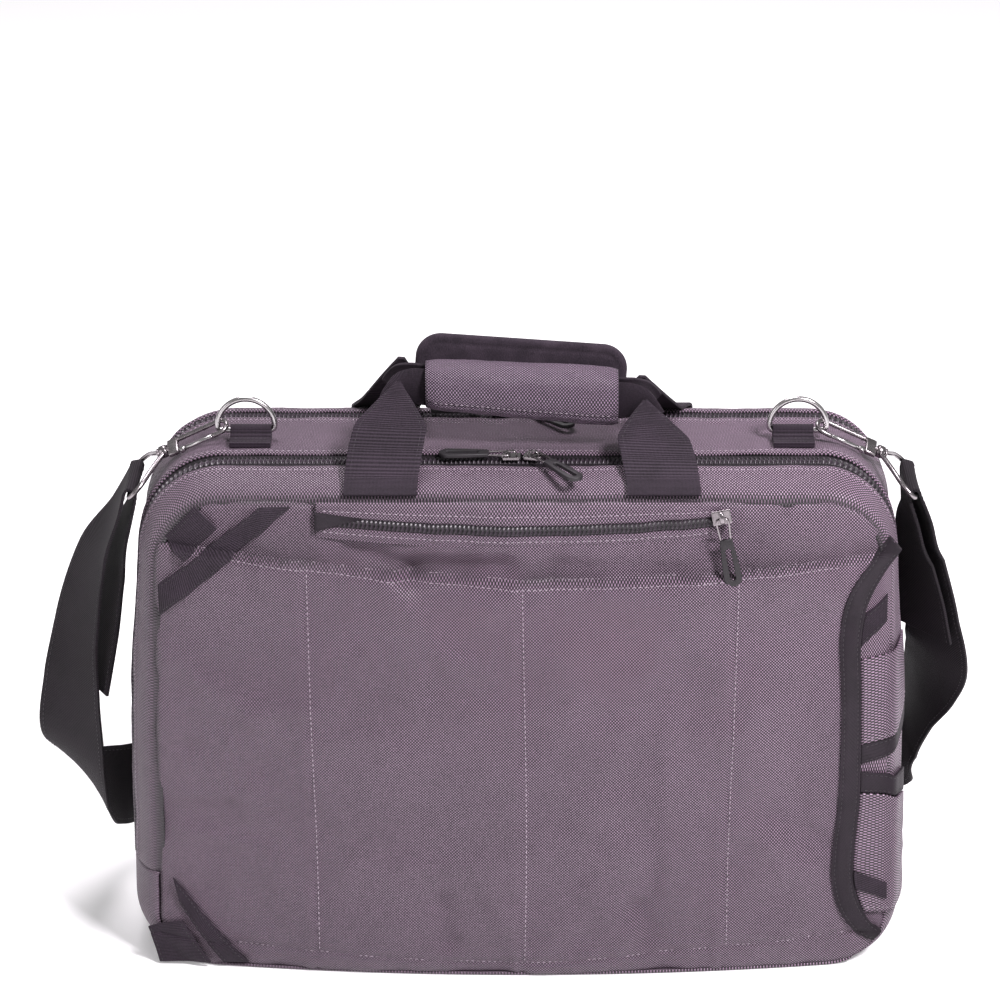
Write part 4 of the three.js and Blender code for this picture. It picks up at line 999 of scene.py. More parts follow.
def make_front_stitches():
    thread = new_bmesh()

    def line(spots, **sizes):
        sew(thread, [face_point(x, z, 0.05) for x, z in spots], forward, **sizes)
    for above in (1.6, -1.8):
        line(row_of(lambda x: (x, through(ridge_line, x) + above), 190, -196, 184))
    line(row_of(lambda x: (x, through(hem_line, x)), 180, -176, 196))
    for middle in upright_seams:
        top, foot = through(ridge_line, middle) - 3, through(hem_line, middle) + 1
        line(row_of(lambda z: (middle + seam_sway(middle, z) + 1.4, z), 120, top, foot), width=0.85)
    finish_piece("front_stitches", thread, grey_thread)


# Trim on the front

def patch_place(quad, out):
    corners = [(x * half_width, z * bag.height) for x, z in quad]

    def place(u, v):
        x, z = (lerp(lerp(corners[0][k], corners[1][k], u), lerp(corners[3][k], corners[2][k], u), v)
                for k in (0, 1))
        swell = 0.35 * (1 - (2 * v - 1) ** 2)
        return face_point(x, z, out + swell)
    return place, corners


def turn_map(mesh):
    """Swaps the map's two ways, for webbing that runs along u."""
    layer = mesh.loops.layers.uv["cloth"]
    for face in mesh.faces:
        for corner_loop in face.loops:
            uv = corner_loop[layer].uv
            corner_loop[layer].uv = (uv.y, uv.x)
    return mesh


def make_corner_pieces():
    thread = new_bmesh()
    for name, quad in corner_pieces:
        out = trim.lift + trim.thickness + (0.7 if "strap" in name else 0.9)
        place, corners = patch_place(quad, out)
        length, width = math.dist(corners[0], corners[1]), math.dist(corners[1], corners[2])
        mesh = turn_map(cloth_grid(36, 14, place, (length, width)))
        piece = finish_piece(name + "_webbing", mesh, black_webbing, name)
        thicken(piece, trim.thickness, edge=webbing_edge)
        inset = 2.2 / max(width, 8)
        for v in (inset, 1 - inset):
            points = row_of(lambda u: place(u, v) + Vector((0, -0.1, 0)), 30, 0.03, 0.97)
            sew(thread, points, forward, **fine_stitch)
    finish_piece("corner_stitches", thread, black_thread)


def pocket_zip_top(x):
    share = x / (pocket.right * half_width)
    return bag.height - pocket.below - pocket.sag * (1 - share ** 2)


def pocket_zip_bottom(x):
    return pocket_zip_top(x) - pocket.zip_height


def on_pocket(x, z, out):
    """A point in front of the pocket, whose pieces bridge the front's deep folds."""
    return Vector((x, front_y(x, z) - max(-0.6, front_relief(x, z)) - out, z))


def make_pocket():
    left, right = pocket.left * half_width, pocket.right * half_width
    teeth = round((right - left) / tooth_pitch)

    def strip(top_of, bottom_of, out):
        def place(u, v):
            x = lerp(left, right, u)
            return on_pocket(x, lerp(bottom_of(x), top_of(x), v), out(x, v))
        return place

    def coil(u, v):
        x, side = lerp(left + 4, right, u), 2 * v - 1
        z = pocket_zip_top(x) - pocket.zip_height / 2 - 0.2 + side * 2.5
        return on_pocket(x, z, 0.7 + coil_height(u, side, teeth, 1.2, 0.3))

    def welt_out(x, v):
        sewn = 1.0 * dent(v, 0.08) + 0.9 * dent(1 - v, 0.1) + 0.3 * dent(v - welt_row, 0.07)
        return 1.6 + 0.5 * math.sin(math.pi * v) - sewn + ripple((x, 9, v), 20, 0.2)

    def lip_out(x, v):
        sewn = 0.9 * dent(1 - v, 0.1) + 0.3 * dent(v - lip_row, 0.08)
        return 1.3 * smooth(0, 0.5, v) - sewn - 0.5 * (1 - v)

    def end_place(u, v):
        x = left - 1 + 27 * u
        z = lerp(pocket_zip_top(x) + 1.6 * (1 - u), pocket_zip_bottom(x) - 3.0, (1 - v) * (1 - 0.9 * u))
        return on_pocket(x, z, 2.7 - 1.2 * u)
    mesh = cloth_grid(120, 5, strip(pocket_zip_top, pocket_zip_bottom, lambda x, v: 0.7), (right - left, 7))
    thicken(finish_piece("pocket_zip_tape", mesh, zip_tape, "pocket_zip"), tape_wall)
    finish_piece("pocket_coil", cloth_grid(teeth * 6, 10, coil, (right - left, 5)), coil_black)
    welt = strip(lambda x: bag.height - trim.lift, lambda x: pocket_zip_top(x) - 0.8, welt_out)
    mesh = cloth_grid(150, 16, welt, (right - left, 10))
    thicken(finish_piece("pocket_welt_cloth", mesh, grey_nylon, "pocket_welt"), thin_wall)
    lip = strip(lambda x: pocket_zip_bottom(x) + 1.0, lambda x: pocket_zip_bottom(x) - 7, lip_out)
    finish_piece("pocket_lip", cloth_grid(150, 14, lip, (right - left, 8)), grey_nylon)
    thread = new_bmesh()
    for place, v in ((welt, welt_row), (lip, lip_row)):
        sew(thread, [place(i / 150, v) + Vector((0, -0.08, 0)) for i in range(2, 149)], forward)
    finish_piece("pocket_stitches", thread, grey_thread)
    thicken(finish_piece("pocket_tape_end", cloth_grid(12, 6, end_place, (27, 10)), black_binding), 0.9)


# Layers inside the D

def layer_points(z, out, reach, top):
    """A layer's line at one height: over the corner panel and, where it reaches on, round to the zip."""
    seam = seam_at_height(z)
    inner = inner_binding_x(z) + gap
    middle = seam.x - edge_depth
    lift = trim.thickness + top
    points = [Vector((x, front_y(x, z) + 2 - lift - out, z)) for x in (inner, middle)]
    if reach > 1:
        front, back = at_front(seam), front_zip_y - gap
        side_lift = trim.side_lift + out + lift
        points.append(Vector((body_point(seam, front, 0).x + side_lift * 0.8, front - lift - gap, z)))
        points += [body_point(seam, lerp(front, back, share), side_lift) for share in (0.35, 0.7, 1)]
    return points


def along_heights(values, u, reach):
    if reach == 1:
        return lerp(values[0], values[1], u)
    return lerp(values[0], values[1], u / 0.4) if u <= 0.4 else lerp(values[1], values[2], (u - 0.4) / 0.6)


def layer_swell(name, u, v, z):
    if name == "side_pocket":
        return 1.2 * math.sin(math.pi * u) * smooth(0, 0.15, v) + ripple((u * 40, 0, z), 18, 0.5)
    return 0.5 * math.sin(math.pi * u) if name == "side_flap" else 0.0


def round_the_side(share):
    """The way out of a layer that turns from the front to the side."""
    turn = smooth(0.3, 0.7, share)
    return Vector((lerp(0.1, 1, turn), lerp(-1, -0.1, turn), 0))


def make_side_layers():
    thread, dark_thread = new_bmesh(), new_bmesh()
    finishes = {"side_flap": grey_nylon, "side_pocket": grey_nylon, "side_band_high": black_webbing}
    for name, lows, highs, out, reach in side_layers:
        finish = finishes.get(name, black_binding)
        cloth = finish is grey_nylon

        def place(u, v, top=0.0):
            z = lerp(along_heights(lows, u, reach), along_heights(highs, u, reach), v) * bag.height
            return curve_at(layer_points(z, out, reach, top + layer_swell(name, u, v, z)), u)
        size = (34 if reach > 1 else 16, (highs[0] - lows[0]) * bag.height)
        mesh = cloth_grid(40 if reach > 1 else 14, 40 if cloth else 16, place, size)
        piece = finish_piece(name + "_cloth", mesh, finish, name)
        thicken(piece, trim.thickness, edge=0 if cloth else webbing_edge)
        for v in (0.04,) if cloth else (0.12, 0.88):
            points = row_of(lambda u: place(u, v, 0.1), 40, 0.03, 0.97)
            sew(thread if cloth else dark_thread, points, row_of(round_the_side, 40), **fine_stitch)
    finish_piece("side_stitches", thread, grey_thread)
    finish_piece("side_dark_stitches", dark_thread, black_thread)

    def low_place(u, v):
        z = lerp(lerp(0.178, 0.150, u), lerp(0.217, 0.186, u), v) * bag.height
        x = lerp(inner_binding_x(z) + gap, seam_at_height(z).x, u)
        return Vector((x, front_y(x, z) - 2.6 + 0.4 * u, z))
    piece = finish_piece("side_band_low_webbing", cloth_grid(20, 10, low_place, (20, 11)), black_webbing,
                         "side_band_low")
    thicken(piece, thin_wall, edge=webbing_edge)


# Straps and handles

def ribbon_place(sections, cup):
    """The middle surface of a flat strap: u runs across it and v along it."""
    centres = [centre for centre, _, _ in sections]
    acrosses = [Vector(across) for _, across, _ in sections]
    spans = len(sections) - 1

    def place(u, v):
        k = min(spans - 1, int(v * spans))
        width = lerp(sections[k][2], sections[k + 1][2], v * spans - k)
        centre = curve_at(centres, v)
        along = curve_at(centres, min(1, v + 1e-3)) - curve_at(centres, max(0, v - 1e-3))
        along = along.normalized() if along.length > 1e-6 else (centres[2] - centres[0]).normalized()
        across = curve_at(acrosses, v, 0.3)
        across = (across - along * across.dot(along)).normalized()
        normal = across.cross(along)
        side = 2 * u - 1
        return centre + across * (side * width / 2) + normal * (cup * (side * side - 0.33))
    return place, centres


def strap_section(row):
    return Vector((row[0] * half_width, row[1] * half_depth, row[2] * bag.height)), row[3], strap.width


def bar_turn(sign):
    """Sections of the strap where it turns over a loop's bar."""
    radius = (loop.wire + strap.thickness) / 2 + 3 * gap
    rows = []
    for degrees in range(0, 181, 30):
        angle = math.radians(degrees)
        x = sign * (-loop_bar.x - radius * math.cos(angle))
        rows.append((Vector((x, loop_bar.y, loop_bar.z + radius * math.sin(angle))), (0, 1, 0), strap.width))
    return rows


def make_shoulder_strap():
    sections = [strap_section(row) for row in strap_left_inner] + bar_turn(-1)
    sections += [strap_section(row) for row in strap_outer] + bar_turn(1)[::-1]
    sections += [strap_section(row) for row in strap_right_inner]
    flat_place, centres = ribbon_place(sections, cup=0.5)
    steps = 600
    lengths = run_length(row_of(lambda v: curve_at(centres, v), steps))

    def run(v):
        k = min(steps - 1, int(v * steps))
        return lerp(lengths[k], lengths[k + 1], v * steps - k)

    def place(u, v):
        return flat_place(u, v) + Vector((0, 0, 0.5 * math.sin(v * 60) * (2 * u - 1)))

    def out_of(u, v):
        along = place(u, min(1, v + 0.001)) - place(u, max(0, v - 0.001))
        return (place(0.6, v) - place(0.4, v)).normalized().cross(along.normalized())
    mesh = cloth_grid(12, (len(sections) - 1) * 12, place, (strap.width, lengths[-1]), run=run)
    piece = finish_piece("shoulder_strap_webbing", mesh, strap_webbing, "shoulder_strap")
    thicken(piece, strap.thickness, 0, 0.4)
    thread = new_bmesh()
    for u in (0.06, 0.94):
        points = row_of(lambda v: place(u, v), 900)
        outs = row_of(lambda v: out_of(u, v), 900)
        for face in (1, -1):
            lifted = [p + out * face * (strap.thickness / 2 + 0.05) for p, out in zip(points, outs)]
            sew(thread, lifted, [out * face for out in outs], 3.4, 2.4, 0.5)
    finish_piece("strap_stitches", thread, black_thread)


def grip_height(x):
    return grip.centre_z - x / grip.length * grip.drop


def handle_point(sign, x, side, rise, clear=1.4):
    """A point of a handle, in the way that the source's sections give it."""
    reach = half_depth - sign * grip.centre_y
    y = grip.centre_y + sign * max(handle.spread, side * reach)
    z = lerp(bag.height + handle.thickness, grip_height(x), rise)
    return Vector((x, y, max(top_z(y) + handle.thickness / 2 + clear, z)))


def make_leg(mesh, sign, flip):
    """One leg: flat webbing from the seam up to the point where it folds behind itself."""
    rows = leg_edges[sign]
    outer = [handle_point(sign, flip * x0, side, rise, clear) for side, rise, x0, _, clear in rows]
    inner = [handle_point(sign, flip * x1, side, rise, clear) for side, rise, _, x1, clear in rows]

    def place(u, v):
        swell = 0.5 * math.sin(math.pi * u) * smooth(0.2, 0.7, v)
        return curve_at(outer, v, 0.32).lerp(curve_at(inner, v, 0.32), u) + Vector((0, sign * swell, 0))
    join_into(mesh, cloth_grid(14, 60, place, (handle.width, 75), (0, grip.centre_y, 250)))
    return place


def make_roll(mesh, sign):
    """The strap doubled into a roll, from behind one leg's point through the grip to the other's."""
    rows = [(handle_point(sign, flip * x, side, rise), (0, 0, -1), width * handle.width)
            for x, side, rise, width in roll_sections for flip in (-1, 1)]
    rows.sort(key=lambda row: row[0].x)
    place, _ = ribbon_place(rows, cup=2.2 * sign)
    join_into(mesh, cloth_grid(14, len(rows) * 6, place, (handle.width, 190), (0, grip.centre_y, 250)))


def make_handle(node, sign):
    mesh, thread = new_bmesh(), new_bmesh()
    lift = Vector((0, sign * (handle.thickness / 2 + 0.05), 0))
    for flip in (-1, 1):
        place = make_leg(mesh, sign, flip)
        for u in (0.07, 0.93):
            sew(thread, row_of(lambda v: place(u, v) + lift, 90, 0.02, 0.86), (0, sign, 0.5), 3.2, 2.3, 0.5)
    make_roll(mesh, sign)
    thicken(finish_piece(node + "_webbing", mesh, black_webbing, node), handle.thickness, 0, 0.5)
    finish_piece(node + "_webbing_stitches", thread, black_thread)


def grip_place(u, v, out=0.0):
    """The wrap's soft tube: u runs along it and v round it."""
    x = lerp(-0.5, 0.5, u) * grip.length
    angle = 2 * math.pi * v
    c, s = math.cos(angle), math.sin(angle)
    puff = 0.7 * (1 - (2 * u - 1) ** 6) - 1.0 * (dent(u, 0.03) + dent(1 - u, 0.03)) + out
    slim = lerp(0.86, 1.03, u)
    y = (grip.depth / 2 - 0.6 + puff) * math.copysign(abs(c) ** grip_power, c)
    z = ((grip.height / 2 - 0.6) * slim + puff) * math.copysign(abs(s) ** grip_power, s)
    wrinkle = ripple((x, 30 * c, 30 * s), 14, 0.45) - 0.8 * dent((v - 0.585) * 100, 1.0)
    return Vector((x, grip.centre_y + y + c * wrinkle, grip_height(x) + 0.8 + z + s * wrinkle))


def make_grip():
    mesh = cloth_grid(60, 96, grip_place, (grip.length, 98), (0, grip.centre_y, grip.centre_z))
    bmesh.ops.remove_doubles(mesh, verts=mesh.verts, dist=1e-6)
    piece = thicken(finish_piece("grip_cloth", mesh, grip_nylon, "grip_wrap"), 2.4)
    thread = new_bmesh()
    points = row_of(lambda u: grip_place(u, 0.57, 0.1), 60, 0.04, 0.96)
    sew(thread, points, (0, -1, -0.6), 3.0, 2.1, 0.6)
    finish_piece("grip_stitches", thread, grey_thread)


def flap_outline(u, v):
    """A point of the flap with its two rounded corners, and how far it lies inside the rim."""
    half = flap.length / 2
    x, z = (2 * u - 1) * half, v * flap.height
    over_x, over_z = abs(x) - (half - flap.corner), z - (flap.height - flap.corner)
    if over_x <= 0 or over_z <= 0:
        return x, z, min(half - abs(x), flap.height - z)
    r = max(over_x, over_z)
    length = math.hypot(over_x, over_z)
    x = math.copysign(half - flap.corner + over_x * r / length, x)
    return x, flap.height - flap.corner + over_z * r / length, flap.corner - r


def make_flap():
    """The padded flap behind the grip: a rounded pad with a sewn rim."""
    tilt = math.atan(grip.drop / grip.length)
    base = grip.centre_z + grip.height / 2 + flap.above - flap.height
    middle = grip.centre_y + grip.depth / 2 + gap + flap.thickness / 2

    def place_on(side):
        def place(u, v):
            x, z, inside = flap_outline(u, v)
            rim = (1 - max(0, 1 - inside / 2.2) ** 2) ** 0.5
            depth = flap.thickness / 2 * (0.25 + 0.75 * rim) - 0.7 * dent(inside - 5.5, 0.9)
            depth += 0.3 * smooth(6, 14, inside) + ripple((x, side * 5, z), 16, 0.35) * smooth(0, 6, inside)
            across = x * math.cos(tilt) + z * math.sin(tilt) + flap.shift
            return Vector((across, middle + side * depth, base - x * math.sin(tilt) + z * math.cos(tilt)))
        return place
    mesh = cloth_grid(84, 22, place_on(-1), (flap.length, flap.height), (0, 60, base))
    join_into(mesh, cloth_grid(84, 22, place_on(1), (flap.length, flap.height), (0, -80, base)))
    bmesh.ops.remove_doubles(mesh, verts=mesh.verts, dist=2e-6)
    bmesh.ops.bridge_loops(mesh, edges=[edge for edge in mesh.edges if edge.is_boundary])
    bmesh.ops.recalc_face_normals(mesh, faces=mesh.faces)
    finish_piece("flap_pad", mesh, flap_felt, "grip_flap")


# Rings, hooks and loops

def axes(x_axis, y_axis, spot):
    made = Matrix((x_axis, y_axis, x_axis.cross(y_axis))).transposed().to_4x4()
    made.translation = spot
    return made


hook_slope, hook_roll = math.radians(hook.slope), math.radians(hook.roll)
hook_along = Vector((math.cos(hook_slope), 0, math.sin(hook_slope)))
hook_up = Vector((-math.sin(hook_slope), 0, math.cos(hook_slope)))
hook_across = Vector((0, math.cos(hook_roll), 0)) + hook_up * math.sin(hook_roll)
hook_half = hook.spread / 2
ring_radius = (ring.inner + ring.wire) / 2
ring_clear = (ring.wire + hook.wire) / 2 + 2 * gap
hook_crown = Vector((-(ring.centre_x + ring_radius) + hook.reach, ring.y, ring.bar_height + ring_clear))
hook_frame = axes(hook_along, hook_across, hook_crown - hook_along * hook.length)
post_hole = hook.post / 2 + gap
loop_slope = math.radians(loop.slope)
loop_out = Vector((-math.cos(loop_slope), 0, -math.sin(loop_slope)))
collar_middle = hook_frame @ Vector((-loop.collar_length / 2, 0, 0))
loop_bar = collar_middle + loop_out * loop.reach + Vector((0, loop.side, 0))
loop_frame = axes(loop_out, Vector((0, 1, 0)), collar_middle)
mirror_x = Matrix.Diagonal((-1, 1, 1, 1))


def arc(x, y, radius, start, end, steps):
    """Points of an arc between two angles in degrees."""
    angles = [math.radians(start + (end - start) * i / steps) for i in range(steps + 1)]
    return [(x + radius * math.cos(angle), y + radius * math.sin(angle)) for angle in angles]


def drum(start, end, radius, first, last):
    """Profile of a short cylinder with the edges of its two ends cut back."""
    return [(start, radius - first), (start + first, radius), (end - last, radius), (end, radius - last)]


def turned(profile, segments=24):
    """A body turned about its X axis from (x, radius) points."""
    mesh = new_bmesh()
    verts = [mesh.verts.new((x * MM, radius * MM, 0)) for x, radius in profile]
    edges = [mesh.edges.new(pair) for pair in zip(verts, verts[1:])]
    bmesh.ops.spin(mesh, geom=verts + edges, axis=(1, 0, 0), cent=(0, 0, 0), steps=segments,
                   angle=2 * math.pi, use_merge=True)
    bmesh.ops.remove_doubles(mesh, verts=mesh.verts, dist=1e-6)
    bmesh.ops.recalc_face_normals(mesh, faces=mesh.faces)
    return mesh


def put(mesh, spot):
    """Moves a mesh made at the origin to where spot, in millimetres, says."""
    place = spot.copy()
    place.translation = spot.translation * MM
    bmesh.ops.transform(mesh, matrix=place, verts=mesh.verts)
    if spot.determinant() < 0:
        bmesh.ops.reverse_faces(mesh, faces=mesh.faces)
    return mesh


def round_edges(mesh, edges, width):
    bmesh.ops.bevel(mesh, geom=edges, offset=width * MM, segments=3, profile=0.5, affect="EDGES", material=-1)


def box_mesh(size, middle, edge):
    mesh = new_bmesh()
    place = Matrix.Translation(Vector(middle) * MM) @ Matrix.Diagonal((*(s * MM for s in size), 1))
    bmesh.ops.create_cube(mesh, size=1, matrix=place)
    round_edges(mesh, mesh.edges[:], edge)
    return mesh


def wire_mesh(points, diameter, closed=False):
    """A round wire bent through points, made from a curve."""
    line = bpy.data.curves.new("wire", "CURVE")
    line.dimensions = "3D"
    line.bevel_depth = diameter / 2 * MM
    line.bevel_resolution = 5
    line.resolution_u = 4
    line.use_fill_caps = True
    run = line.splines.new("BEZIER")
    run.bezier_points.add(len(points) - 1)
    for bezier, point in zip(run.bezier_points, points):
        bezier.co = Vector(point).to_3d() * MM
        bezier.handle_left_type = bezier.handle_right_type = "AUTO"
    run.use_cyclic_u = closed
    return from_curve(line)


def from_curve(line):
    holder = bpy.data.objects.new("line", line)
    bpy.context.scene.collection.objects.link(holder)
    bpy.context.view_layer.update()
    data = bpy.data.meshes.new_from_object(holder.evaluated_get(bpy.context.evaluated_depsgraph_get()))
    bpy.data.objects.remove(holder)
    bpy.data.curves.remove(line)
    mesh = new_bmesh()
    mesh.from_mesh(data)
    bpy.data.meshes.remove(data)
    bmesh.ops.remove_doubles(mesh, verts=mesh.verts, dist=1e-6)
    bmesh.ops.recalc_face_normals(mesh, faces=mesh.faces)
    return mesh


def plate_mesh(outlines, thickness, edge):
    """A flat plate with rounded edges inside the first outline, with the others cut out of it."""
    line = bpy.data.curves.new("plate", "CURVE")
    line.dimensions = "2D"
    line.fill_mode = "BOTH"
    line.extrude = (thickness / 2 - edge) * MM
    line.bevel_depth = edge * MM
    line.bevel_resolution = 2
    line.offset = -edge * MM
    for outline in outlines:
        run = line.splines.new("POLY")
        run.points.add(len(outline) - 1)
        for point, (x, y) in zip(run.points, outline):
            point.co = (x * MM, y * MM, 0, 1)
        run.use_cyclic_u = True
    return from_curve(line)


def ring_mesh():
    foot = ring_radius - ring.bend
    points = arc(0, ring.bend, ring_radius, 0, 180, 14) + arc(-foot, ring.bend, ring.bend, 205, 270, 3)
    return wire_mesh(points + arc(foot, ring.bend, ring.bend, 270, 335, 3), ring.wire, True)


def hook_mesh():
    """The bent wire, the block that holds it, and the post and head that turn in the loop's collar."""
    bend = hook.length - hook_half
    points = [(x, hook_half) for x in (hook.block - 1, hook.block + 6, bend - 6, bend)]
    points += arc(bend, 0, hook_half, 60, -90, 5) + [(hook.length - hook.nose, -hook_half)]
    mesh = wire_mesh(points, hook.wire)
    start = hook.block_start + gap
    size = (hook.block - start, hook.spread + hook.wire, hook.wire + 0.3)
    join_into(mesh, box_mesh(size, ((hook.block + start) / 2, 0, 0), 0.9))
    behind = -loop.collar_length - gap
    head = [(behind - 1.6, 0), *drum(behind - 1.6, behind, hook.head / 2, 0.5, 0.4)]
    post = [(behind, hook.post / 2), (start + 1, hook.post / 2), (start + 1, 0)]
    return join_into(mesh, turned(head + post))


def gate_mesh():
    """The spring gate's lever, and the knuckle that it turns on."""
    pivot = hook.block + gap + gate.knuckle / 2
    tip = hook.length - hook.nose - gap
    radius, half = gate.wire / 2, hook.wire / 2
    mesh = turned([(pivot, 0), (pivot, radius), (tip - 0.4, radius), (tip, radius - 0.4), (tip, 0)])
    knuckle = turned([(-half, 0), *drum(-half, half, gate.knuckle / 2, 0.3, 0.3), (half, 0)])
    return join_into(mesh, put(knuckle, Matrix.Translation((pivot, 0, 0)) @ Matrix.Rotation(math.pi / 2, 4, "Y")))


def loop_mesh():
    """The wire loop that the strap turns round, and its collar on the hook's post."""
    side, start, end = loop.width / 2, (post_hole + loop.collar / 2) / 2, loop.reach - loop.bow

    def arm(sign):
        spots = [(0, start), (3, start + 3), (8, start + 9), (loop.reach - 6, side - gap)]
        return [(x, sign * y) for x, y in spots]
    points = arm(-1) + arc(end, loop.bow - side, loop.bow, -40, 0, 1)
    points += arc(end, side - loop.bow, loop.bow, 0, 40, 1) + arm(1)[::-1]
    points = [(x, y + loop.side * x / loop.reach) for x, y in points]
    collar = [*drum(-loop.collar_length, 0, loop.collar / 2, 0.5, 0.5), (0, post_hole)]
    collar = [(-loop.collar_length, post_hole), *collar, (-loop.collar_length, post_hole)]
    return join_into(put(wire_mesh(points, loop.wire), loop_frame), put(turned(collar), hook_frame))


def make_hardware():
    upright = Matrix.Translation((-ring.centre_x, ring.y, ring.bar_height)) @ Matrix.Rotation(math.pi / 2, 4, "X")
    gate_frame = hook_frame @ Matrix.Translation((0, -hook_half, 0))
    for side, flip in (("left", Matrix()), ("right", mirror_x)):
        finish_piece(f"ring_{side}", put(ring_mesh(), flip @ upright), nickel, f"d_ring_{side}")
        finish_piece(f"hook_{side}", put(hook_mesh(), flip @ hook_frame), gunmetal, f"hook_body_{side}")
        finish_piece(f"gate_lever_{side}", put(gate_mesh(), flip @ gate_frame), nickel, f"hook_gate_{side}",
                     f"gate_{side}")
        finish_piece(f"strap_loop_{side}", put(loop_mesh(), flip), gunmetal, f"hook_loop_{side}")


def make_ring_tabs():
    """A strip of webbing folded over each ring's bar, with both plies sewn down in front of it."""
    def ply(ys, height):
        return [(y, top_z(y) + trim.lift + gap + tab.thickness * height) for y in ys]
    middle = ring.wire / 2 + gap + tab.thickness / 2
    line = ply((tab.front, tab.front + 4, ring.y - 9, ring.y - 5), 1.5)
    line += arc(ring.y, ring.bar_height, middle, 170, -60, 10)
    line += ply((ring.y + 1, ring.y - 4, ring.y - 9, tab.front), 0.5)
    spots = [Vector((0, y, z)) for y, z in line]
    length = run_length(spots)[-1]
    for side, sign in (("left", -1), ("right", 1)):
        centre = sign * (ring.centre_x - tab.offset)

        def place(u, v):
            point = curve_at(spots, v)
            return Vector((centre + (u - 0.5) * tab.width, point.y, point.z))
        mesh = cloth_grid(12, 90, place, (tab.width, length), (centre, 0, 300))
        piece = finish_piece(f"ring_tab_{side}", mesh, black_webbing, f"d_ring_tab_{side}")
        thicken(piece, tab.thickness, 0, webbing_edge)
        thread = new_bmesh()
        for y in (tab.front + 2.5, ring.y - 6.5):
            share = min(range(80), key=lambda k: abs(curve_at(spots, k / 199).y - y)) / 199
            points = row_of(lambda u: place(u, share) + Vector((0, 0, tab.thickness / 2)), 20, 0.1, 0.9)
            sew(thread, points, (0, -0.1, 1), 2.2, 1.7, 0.6)
        finish_piece(f"ring_tab_stitches_{side}", thread, black_thread)


# Zip sliders and pulls

def slider_mesh(lengthwise):
    """A slider's body: a plate with a narrower nose, its side walls and the bridge its pull hangs from."""
    length, width = (slider.length, slider.width) if lengthwise else (slider.width, slider.length)
    base, plate = slider.base, 0.9
    mesh = new_bmesh()
    bmesh.ops.create_grid(mesh, x_segments=8, y_segments=6, size=0.5)
    for vert in mesh.verts:
        nose = 0.86 + 0.14 * math.cos(math.pi * (vert.co.x + 0.5)) if lengthwise else 1
        vert.co = Vector((vert.co.x * length, vert.co.y * width * nose, base - plate)) * MM
    bmesh.ops.solidify(mesh, geom=mesh.faces[:], thickness=-plate * MM)
    bmesh.ops.recalc_face_normals(mesh, faces=mesh.faces)
    rim = [edge for edge in mesh.edges if len(edge.link_faces) == 2 and edge.calc_face_angle(0) > 0.8]
    round_edges(mesh, rim, 0.35)
    for side in (-1, 1):
        join_into(mesh, box_mesh((length * 0.9, 1.0, base), (0, side * (width / 2 - 0.6), base / 2), 0.4))
    join_into(mesh, box_mesh((length * 0.8, width * 0.5, base - 0.8), (0, 0, (base - 0.8) / 2), 0.3))
    top = base + slider.opening + slider.wall / 2
    half = slider.bridge / 2 - slider.wall / 2
    rise = [(-half, base - 0.5), (-half, base + 0.8), (-half + 0.7, top - 0.4), (-half + 1.8, top)]
    bridge = wire_mesh([(x, 0, z) for x, z in rise] + [(-x, 0, z) for x, z in rise[::-1]], slider.wall)
    for vert in bridge.verts:
        vert.co.y *= slider.bridge_width / slider.wall
    return join_into(mesh, bridge)


def pull_outlines():
    start, wide, tip, half = pull.prong_length, pull.width / 2, pull.tip / 2, pull.slot / 2
    end = start + pull.length - wide
    lower = [(start, 0.6 - tip), (start + 0.6, -tip), (end - wide, -wide), (end, -wide)]
    outer = lower + arc(end, 0, wide, -80, 80, 16) + [(x, -y) for x, y in lower[::-1]]
    return [outer, arc(start + pull.tip, 0, half, 270, 90, 9) + arc(end, 0, half, 90, -90, 9)]


def cloth_frame(place, toward, out):
    normal = Vector(out).normalized()
    along = Vector(toward)
    along = (along - normal * along.dot(normal)).normalized()
    return axes(along, normal.cross(along), Vector(place))


def make_slider(slider_node, pull_node, spot, lengthwise, turn, dip, finish):
    finish_piece(slider_node + "_body", put(slider_mesh(lengthwise), spot), finish, slider_node)
    pin = (slider.bridge / 2 - slider.wall - pull.prong / 2 - pull.play, 0, slider.base + slider.opening / 2)
    swing = Matrix.Rotation(math.radians(turn), 4, "Z") @ Matrix.Rotation(math.radians(dip), 4, "Y")
    hinge = spot @ Matrix.Translation(pin) @ swing
    plate = put(plate_mesh(pull_outlines(), pull.thickness, 0.6), hinge)
    finish_piece(pull_node + "_tab", plate, pull_rubber, pull_node)
    side, reach = pull.spread / 2, pull.prong_length + 1.2
    prong = [(reach, side - 0.6), (reach * 0.5, side - 0.1), (1.6, side), (0.4, side - 0.5), (0, side - 1.6)]
    prongs = put(wire_mesh(prong + [(x, -y) for x, y in prong[::-1]], pull.prong), hinge)
    finish_piece(pull_node + "_wire", prongs, finish)


def make_sliders():
    front, back = front_zip_y + zips.width / 2, back_zip_y + zips.width / 2
    half = slider.length / 2 + 3 * gap
    rows = [
        ("front", "left", -half, front, (-1, 0, 0), 0, 0, gunmetal),
        ("front", "right", half, front, (1, -0.2, 0), -40, 5, gunmetal),
        ("back", "left", -2 * half, back, (-1, 0, 0), 0, 0, nickel),
        ("back", "right", 0, back, (1, -0.2, 0), -34, 0, nickel),
    ]
    for row, side, x, y, toward, turn, dip, finish in rows:
        spot = cloth_frame((x, y, top_z(y) + 2 * gap), toward, (0, 0, 1))
        make_slider(f"{row}_slider_{side}", f"{row}_pull_{side}", spot, True, turn, dip, finish)
    x = pocket.right * half_width + gap
    z = pocket_zip_top(x) - gap
    y = front_y(x, z) - trim.lift - 1.6 - gap * 2
    spot = cloth_frame((x, y, z), (0.2, 0, -1), (0, -1, 0.1))
    make_slider("pocket_slider", "pocket_pull", spot, False, 0, 2, gunmetal)


